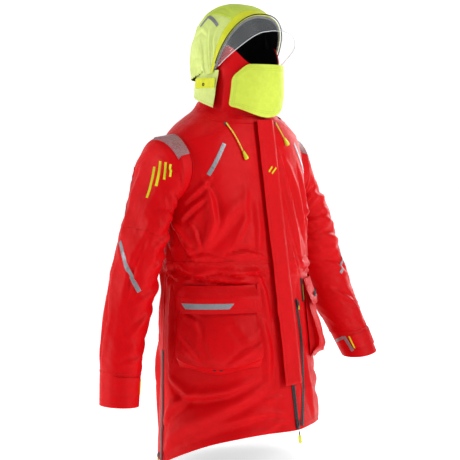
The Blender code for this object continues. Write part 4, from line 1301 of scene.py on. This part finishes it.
def slider(name, node, out, size=0.85, pull=True, lift=0.0):
    """A zip slider in its CAD box: a waisted plate, its bridge and a short cord pull."""
    out = unit(np.asarray(out, float))
    middle = middle_of(node) + out * lift
    down = unit(np.array((0, 0, -1.0)) - out * (-out[2]))
    side = np.cross(out, down)
    outline = ((-0.48, -0.50), (0.48, -0.50), (0.50, -0.30), (0.34, 0.15), (0.30, 0.50),
               (-0.30, 0.50), (-0.34, 0.15), (-0.50, -0.30))
    levels = ((-0.0013, 0.92), (-0.0009, 1.0), (0.0007, 1.0), (0.0012, 0.90))
    tall, wide = 0.0185 * size, 0.0098 * size
    spots = [
        middle + side * (x * wide * grow) + down * (y * tall * grow) + out * h
        for h, grow in levels for x, y in outline
    ]
    faces = tube_faces(len(levels), len(outline))
    plate = outward(add_mesh(f"{name}_plate", spots, faces, [M["metal"]], sharp=35))
    settle(plate, node, "slider_metal", node)
    arch = [
        middle + down * (-0.36 * tall * math.cos(a)) + out * (0.0006 + 0.0021 * math.sin(a))
        for a in spread(0, math.pi, 14)
    ]
    settle(rope(f"{name}_bridge", arch, 0.0009, M["metal"], 8), node, "slider_metal")
    if pull:
        t = spread(0, 1, 18)
        loop = [
            middle + down * (0.003 + 0.010 * a) + out * (0.0014 + 0.0003 * math.sin(a * 5)) for a in t
        ]
        radius = 0.0011 + 0.0007 * ease((t - 0.55) / 0.2)
        settle(rope(f"{name}_pull", loop, radius, M["neon_plastic"], 8), node, "neon_plastic")


def puller():
    """The main zip's pull: a dark cord loop in a moulded neon grip."""
    middle = middle_of("front_zip_puller")
    down = unit(np.array((0, -FRONT_LINE[1], -1.0)))
    side = np.array((1.0, 0, 0))
    spots = []
    rings = spread(0, 1, 26)
    around = spread(0, 2 * math.pi, 25)[:-1]
    for t in rings:
        end = 1 - (abs(2 * t - 1)) ** 7
        wide = (0.0048 - 0.0010 * (1 - t) + 0.00025 * math.sin(t * 34)) * end + 0.0002
        thick = 0.0015 * end + 0.0002
        heart = middle + down * (-0.0072 + 0.0215 * t)
        spots += [
            heart + side * (wide * math.copysign(abs(math.cos(a)) ** 0.75, math.cos(a)))
            + FRONT_OUT * (thick * math.copysign(abs(math.sin(a)) ** 0.85, math.sin(a)))
            for a in around
        ]
    faces = tube_faces(len(rings), len(around))
    grip = outward(add_mesh("puller_grip", spots, faces, [M["neon_plastic"]], sharp=50))
    settle(grip, "front_zip_puller", "neon_plastic", "front_zip_puller")
    for number, shift in enumerate((-0.0013, 0.0013)):
        line = [
            middle + down * (-0.0148 + 0.009 * t) + side * (shift * (0.4 + 0.6 * t))
            for t in spread(0, 1, 12)
        ]
        cord = rope(f"puller_cord_{number}", line, 0.0009, M["dark_cord"], 8)
        settle(cord, "front_zip_puller", "cord")


def storm_flap():
    near_edge = -FLAP_HALF + 0.004
    x = np.concatenate((spread(-FLAP_HALF, near_edge, 4)[:-1], spread(near_edge, FLAP_HALF, 26)))
    X, Z = np.meshgrid(x, spread(FLAP_TOP, FLAP_END, 190))
    lower = ease((-Z - 0.42) / 0.06)
    edge = 0.0016 * wander(Z * 11, Z * 0, 101) + 0.0010 * wander(Z * 26, Z * 0, 103)
    notch = 0.0022 * np.exp(-(((Z + 0.452) / 0.014) ** 2))
    X = X + np.where(X < 0, -X / FLAP_HALF, 0) * (edge * 0.8 - notch)
    lift = FLAP_RISE + 0.0009 * wander(Z * 9, X * 30, 105) + 0.0005 * crumple(Z * 20, X * 26, 107, 3)
    lift = lift + 0.0012 * lower * wander(Z * 17, X * 20, 109)
    hinge = ease((X - 0.016) / 0.015)
    lift = lift * (1 - hinge) + 0.0040 * hinge
    lift = lift - 0.0007 * np.exp(-(((X + 0.0245) / 0.0014) ** 2))
    ends = ease((Z - FLAP_END) / 0.004)
    grid = line_at(Z, X, np.maximum(lift * (0.86 + 0.14 * ends), 0.0030))
    obj = shell("cloth_storm_flap", grid, [M["red"]], FABRIC)
    settle(obj, "storm_flap", "red_shell", "storm_flap")
    out = grid_out(grid)
    for j in (5, -6):
        THREADS.sew("flap", grid[2:-3, j], out[2:-3, j])
    THREADS.sew("flap", grid[-6, 3:-3], out[-6, 3:-3])
    points, out = path_on(front_at, 0.0365, spread(FLAP_TOP - 0.006, FLAP_END - 0.040, 160))
    settle(band("flap_seam", points, out, 0.0032, 0.0010, M["red"]), "torso", "red_shell")
    THREADS.sew("torso", points, out, high=0.0015)
    # two plain slanted bars
    bars = ((-0.012, -0.128, 0.001, -0.116), (-0.002, -0.132, 0.014, -0.119))
    for number, (x0, z0, x1, z1) in enumerate(bars):
        t = spread(0, 1, 14)
        points = line_at(z0 + (z1 - z0) * t, x0 + (x1 - x0) * t, FLAP_RISE + 0.0007)
        out = np.broadcast_to(FRONT_OUT, points.shape)
        bar = band(f"mark_flap_{number}", points, out, 0.0019, 0.0005, M["yellow_print"])
        settle(bar, "storm_flap", "neon_plastic")


def front_zip():
    points = line_at(spread(-0.010, HEM_FRONT + 0.003, 200), 0.0, 0.0004)
    out = np.broadcast_to(FRONT_OUT, points.shape)
    zip_strip("front_zip", points, out, ZIP_HALF, "front_zip_right", "front_zip_left")
    x, z = np.meshgrid(spread(-0.024, 0.024, 12), spread(-0.012, HEM_FRONT + 0.02, 90))
    inner = shell("cloth_inner_flap", smooth_front(x, z, -FABRIC - 0.001), [M["black"]], LINING)
    settle(inner, "torso", "black_lining", "inner_flap")
    slider("front_slider", "front_zip_slider", FRONT_OUT, 1.05, False)
    puller()


def other_zips():
    route = ((0.050, -0.430), (0.053, -0.520), (0.050, -0.600), (0.036, -0.665), (0.0175, -0.722))
    table = [(float(i), *knot) for i, knot in enumerate(route)]
    line = through(table, spread(0, len(route) - 1, 120))
    points, out = path_on(front_at, line[:, 0], line[:, 1])
    zip_strip("gusset", points, out, 0.0056, "gusset_zip")
    for shift in (-0.0080, 0.0080):
        THREADS.sew("torso", points + sided(points, out) * shift, out)
    facing = smooth_front(0.050, -0.442, 0.001) - smooth_front(0.050, -0.442)
    slider("gusset_slide", "gusset_slider", facing)
    for side, name in SIDE_NAME.items():
        low = float(hem(side * SIDE_SEAM)) + 0.002
        points, out = path_on(body_at, side * SIDE_SEAM, spread(-0.545, low, 100))
        zip_strip(f"side_{name}", points, out, 0.0058, f"side_zip_{name}")
        slider(f"side_slide_{name}", f"side_slider_{name}", out[-5], lift=0.0012)
        # hand warmer slits; the right one is a plain welt
        edge = side * math.radians(POCKETS[side][0] - 4.0)
        points, out = path_on(body_at, edge, spread(-0.384, -0.440, 30))
        finish = M["red"] if side < 0 else M["zip"]
        slit = band(f"handwarmer_{name}", points, out, 0.0048, 0.0016, finish, 0.0003)
        settle(slit, "torso", "zip_tape", f"handwarmer_zip_{name}")
    shifted = points + sided(points, out) * 0.0060
    piping = band("handwarmer_edge_left", shifted[8:28], out[8:28], 0.0014, 0.0016, M["orange"])
    settle(piping, "torso", "neon_plastic")


# ---------------------------------------------------------------- pockets


BAG_FOLDS = {
    -1: (
        (((0.05, 0.30), (0.22, 0.42), (0.30, 0.62)), 0.05, 0.0035),
        (((0.02, 0.66), (0.14, 0.78), (0.30, 0.95)), 0.05, 0.0045),
        (((0.62, 0.98), (0.80, 0.86), (0.99, 0.80)), 0.05, 0.0040),
        (((0.10, 0.12), (0.45, 0.20), (0.92, 0.12)), 0.06, 0.0025),
        (((0.36, 0.55), (0.46, 0.80), (0.52, 0.99)), -0.06, 0.0025),
        (((0.70, 0.40), (0.82, 0.60), (0.86, 0.80)), -0.06, 0.0022),
    ),
    1: (
        (((0.05, 0.70), (0.20, 0.80), (0.36, 0.97)), 0.05, 0.0040),
        (((0.64, 0.98), (0.82, 0.84), (0.99, 0.76)), 0.05, 0.0040),
        (((0.10, 0.14), (0.50, 0.22), (0.90, 0.12)), 0.06, 0.0025),
        (((0.20, 0.36), (0.30, 0.60), (0.34, 0.86)), 0.06, 0.0025),
    ),
}


def bag(side, name, low, high):
    """The bellows bag. Its front sags at the bottom, and its pleated walls fold in behind it."""
    top, front_rows, columns = -0.402, 54, 70
    wall_foot = 0.0035       # how far the walls' feet and the gusset's end stand off the body
    u, v = spread(0, 1, columns)[None, :], spread(0, 1, front_rows)[:, None]
    sag = np.sin(np.pi * u) ** 0.7
    bottom = -0.548 - 0.026 * sag
    z = top + (bottom - top) * v
    depth = 0.0095 + 0.0205 * ease((v - 0.16) / 0.84)
    depth = depth - 0.0035 * ease((v - 0.86) / 0.14) + 0.0025 * np.sin(np.pi * u) * np.sin(np.pi * v)
    folds = creases(u, v, BAG_FOLDS[side])
    calm = ease(np.minimum(u, 1 - u) / 0.03) * ease(v / 0.08)
    rough = 0.0012 * crumple(u * 4 + side, v * 4, 111 + side, 3)
    rough = rough + 0.0014 * wander(u * 4, v * 3, 115 + side)
    depth = depth + (folds + rough) * calm
    turn = np.radians(low + (high - low) * u)
    rows = [ring(BODY, turn, z, depth)]
    # under the front's lower edge the gusset tucks in, then runs to the body
    attached = -0.574 - 0.012 * sag + 0.004 * np.sin(np.pi * u * 3)
    tucks = ((0.10, 0.0), (0.28, 0.35), (0.45, 0.55), (0.62, 0.40), (0.80, 0.15), (1.0, 0.0))
    for share, tuck in tucks:
        level = bottom + (attached - bottom) * share + 0.006 * tuck
        inward = depth[-1:] * (1 - share) + wall_foot * share
        inward = inward + 0.003 * tuck * wander(u * 9, u * 0 + share * 3, 119)
        rows.append(ring(BODY, turn, level, inward))
    grid = np.concatenate(rows, 0)
    # side walls, with a pleat half way
    walls = []
    for end, sign in ((0, 1), (-1, -1)):
        edge = grid[:, end]
        foot = ring(BODY, math.radians(high if end else low), edge[:, 2], wall_foot)
        inward = unit(grid[:, end + sign * 6] - edge)
        walls.append(np.stack([
            foot + (edge - foot) * t + inward * (0.0075 * (1 - abs(2 * t - 1)) ** 1.2)
            for t in (0.85, 0.6, 0.5, 0.4, 0.15, 0.0)
        ], 1))
    grid = np.concatenate((walls[0][:, ::-1], grid, walls[1]), 1)
    obj = shell(f"cloth_pocket_{name}", grid, [M["red"]], 0.0016)
    settle(obj, "torso", "red_shell", f"pocket_bag_{name}")
    out = grid_out(grid)
    for j in (9, -10):
        THREADS.sew("torso", grid[2:front_rows - 3, j], out[2:front_rows - 3, j])
    THREADS.sew("torso", grid[front_rows - 4, 9:-9], out[front_rows - 4, 9:-9])
    # two drain eyelets low on the gusset
    for number, share in enumerate((0.46, 0.54)):
        j = 6 + int(share * columns)
        i = front_rows + 2
        eye = eyelet(f"drain_{name}_{number}", grid[i, j] + out[i, j] * 0.0002, out[i, j], 0.0038,
                     0.0018, M["piping"])
        settle(eye, "torso", "black_lining")


FLAP_HINGE, POCKET_FLAP_END = -0.3865, -0.450


def flap_lift(side, u, v):
    """How far the flap's outer face stands off the body; it slopes out from its hinge."""
    lift = 0.0058 + 0.0165 * ease(v / (0.5 if side < 0 else 1.1))
    lift = lift + 0.0012 * wander(u * 5 + side, v * 2, 121) * ease(v / 0.2)
    lift = lift + 0.0006 * crumple(u * 7, v * 3, 123, 3) * ease(v / 0.2)
    return lift - 0.0014 * ease((v - 0.8) / 0.2) * np.sin(np.pi * np.clip(u, 0, 1))


def flap(side, name, low, high):
    u, v = spread(0, 1, 90)[None, :], spread(0, 1, 44)[:, None]
    beyond = np.maximum(0.10 - u if side < 0 else u - 0.90, 0)
    z = FLAP_HINGE + (POCKET_FLAP_END + beyond * 0.16 - FLAP_HINGE) * v
    turn = np.radians(low - 1.2 + (high - low + 2.4) * u)
    grid = ring(BODY, turn, z, flap_lift(side, u, v))
    obj = shell(f"cloth_flap_{name}", grid, [M["red"]], 0.0018)
    settle(obj, f"pocket_flap_{name}", "red_shell", f"pocket_flap_{name}")
    out = grid_out(grid)
    for i in (3, 6):
        loop, facing = (
            np.concatenate((values[3:-i, i], values[-i - 1, i:-i], values[3:-i, -i - 1][::-1]))
            for values in (grid, out)
        )
        THREADS.sew(f"flap_{name}", loop, facing)
    # the reflective strip is a parallelogram let into the flap
    middle, half = (low + high) / 2 + side * 6, 0.30 * (high - low)
    uu, vv = np.meshgrid(spread(0, 1, 60), spread(0, 1, 10))
    degrees = middle - half + 2 * half * uu + 3.0 * (0.5 - vv) * (2 * uu - 1)
    z = -0.4265 - 0.0125 * vv
    u, v = (degrees - low + 1.2) / (high - low + 2.4), (z - FLAP_HINGE) / (POCKET_FLAP_END - FLAP_HINGE)
    grid = ring(BODY, np.radians(degrees), z, flap_lift(side, u, v) + 0.0007)
    strip = shell(f"reflector_pocket_{name}", grid, [M["tape"]], TRIM)
    settle(strip, f"pocket_flap_{name}", "reflective_tape", f"pocket_tape_{name}")


def pockets():
    for side, (inner, outer) in POCKETS.items():
        name = SIDE_NAME[side]
        low, high = sorted((side * inner, side * outer))
        bag(side, name, low, high)
        flap(side, name, low, high)


# ---------------------------------------------------------------- chest trims


TOGGLE = (
    # distance from its cord end, radius
    (0.0, 0.0018), (0.001, 0.0027), (0.004, 0.0034), (0.006, 0.0032), (0.0075, 0.0036),
    (0.012, 0.0045), (0.017, 0.0051), (0.0195, 0.0048), (0.0208, 0.0038), (0.0211, 0.0014),
)


def chest():
    for side, name in SIDE_NAME.items():
        t = spread(0, 1, 30)
        points, out = path_on(front_at, side * (0.119 + 0.043 * t), -0.060 - 0.072 * t)
        tape = band(f"reflector_chest_{name}", points, out, 0.0050, TRIM, M["tape"], 0.0002)
        settle(tape, "torso", "reflective_tape", f"chest_tape_{name}")
        knots = np.array([smooth_front(x, z, 0.0044) for x, z in DRAWCORDS[side]])
        line = through([(float(i), *knot) for i, knot in enumerate(knots)], spread(0, 3, 40))
        place = smooth_front(*DRAWCORDS[side][0])
        facing = unit(smooth_front(*DRAWCORDS[side][0], 0.001) - place)
        grommet = eyelet(f"grommet_{name}", place + facing * 0.0006, facing, 0.0050, 0.0021, M["metal"])
        settle(grommet, "torso", "slider_metal", f"cord_grommet_{name}")
        cord = rope(f"cord_{name}", line, 0.0015, M["cord"], 12)
        settle(cord, "torso", "cord", f"drawcord_{name}")
        ahead = unit(knots[3] - knots[2])
        start = knots[3] + ahead * 0.0009 + facing * 0.0012
        bell = np.array([start + ahead * place for place, _ in TOGGLE])
        toggle = rope(f"bell_{name}", bell, [radius for _, radius in TOGGLE], M["neon_plastic"], 20)
        settle(toggle, "torso", "neon_plastic", f"toggle_{name}")


def stitches():
    groups = (
        ("torso", "torso", "red_thread"), ("neon_torso", "torso", "neon_thread"),
        ("hood", "hood", "neon_thread"), ("guard", "face_guard", "neon_thread"),
        ("flap", "storm_flap", "red_thread"),
        ("right_lower", "sleeve_right_lower", "red_thread"),
        ("left_lower", "sleeve_left_lower", "red_thread"),
        ("right_tab", "cuff_tab_right", "red_thread"), ("left_tab", "cuff_tab_left", "red_thread"),
        ("flap_right", "pocket_flap_right", "red_thread"),
        ("flap_left", "pocket_flap_left", "red_thread"),
        ("right_upper", UPPER_BLEND[-1], "red_thread"), ("left_upper", UPPER_BLEND[1], "red_thread"),
    )
    for group, body, thread in groups:
        obj = THREADS.make(f"stitches_{group}", group, M[thread])
        settle(obj, body, "neon_shell" if "neon" in thread else "red_shell")


def dress_the_rest():
    """The CAD nodes that still show get their finish."""
    for name, key in (("hang_loop", "black"), ("face_guard_hook", "hook"),
                      ("pocket_hook_right", "hook"), ("pocket_hook_left", "hook")):
        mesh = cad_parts[name].data
        mesh.materials.clear()
        mesh.materials.append(M[key])


# ---------------------------------------------------------------- camera, light and floor


def camera():
    data = bpy.data.cameras.new("camera")
    data.lens = 96.73
    data.sensor_width = 36
    obj = bpy.data.objects.new("camera", data)
    obj.location = (-2.1213, -2.1213, -0.05)
    obj.rotation_euler = (math.radians(90 - 4.2), 0, math.radians(-45 + 0.278))
    bpy.context.scene.collection.objects.link(obj)
    bpy.context.scene.camera = obj


def area(name, place, aim, size, power):
    data = bpy.data.lights.new(name, "AREA")
    data.shape = "RECTANGLE"
    data.size, data.size_y = size
    data.energy = power
    obj = bpy.data.objects.new(name, data)
    obj.location = place
    obj.rotation_euler = (Vector(aim) - Vector(place)).to_track_quat("-Z", "Y").to_euler()
    bpy.context.scene.collection.objects.link(obj)


def studio():
    camera()
    area("key", (0.9, -3.2, 1.1), (0, 0, -0.3), (1.0, 1.6), 62)
    area("rim_left", (-2.6, 1.5, 0.4), (0, 0, -0.35), (0.5, 2.0), 46)
    area("rim_right", (2.6, 0.6, 0.6), (0, 0, -0.35), (0.5, 2.0), 30)
    area("top", (-0.3, -0.4, 2.6), (0, 0, 0), (1.4, 1.4), 14)
    area("fill", (-2.8, -2.0, 0.8), (0, 0, -0.3), (1.6, 1.6), 3)
    world = bpy.data.worlds.new("studio")
    world.use_nodes = True
    background = world.node_tree.nodes["Background"]
    background.inputs["Color"].default_value = (1.0, 1.0, 1.0, 1)
    background.inputs["Strength"].default_value = 0.17
    bpy.context.scene.world = world
    bpy.context.scene.view_settings.view_transform = "Standard"
    # a floor that curves up into a backdrop, far behind
    bend, start, half = 1.6, 6.0, 12.0
    arc = spread(0.05, math.pi / 2, 16)
    profile = [(-9.0, 0.0), (start, 0.0)]
    profile += [(start + bend * math.sin(a), bend - bend * math.cos(a)) for a in arc]
    profile += [(start + bend, 5.5)]
    turn = Matrix.Rotation(math.radians(-45), 4, "Z")
    points = [
        tuple(turn @ Vector((x, along, height + FLOOR)))
        for along, height in profile for x in (-half, half)
    ]
    faces = [(i, i + 1, i + 3, i + 2) for i in range(0, len(points) - 2, 2)]
    add_mesh("floor", points, faces, [M["floor"]], sharp=180)


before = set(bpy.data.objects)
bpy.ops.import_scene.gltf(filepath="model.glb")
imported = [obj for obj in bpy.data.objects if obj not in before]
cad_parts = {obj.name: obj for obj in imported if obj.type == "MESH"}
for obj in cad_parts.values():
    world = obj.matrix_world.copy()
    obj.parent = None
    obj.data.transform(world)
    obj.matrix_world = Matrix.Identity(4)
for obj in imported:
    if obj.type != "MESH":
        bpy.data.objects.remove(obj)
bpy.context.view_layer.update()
M = make_materials()
studio()
chest()
body()
sleeves()
collar()
face_guard()
hood()
hood_neck()
storm_flap()
front_zip()
other_zips()
pockets()
stitches()
dress_the_rest()
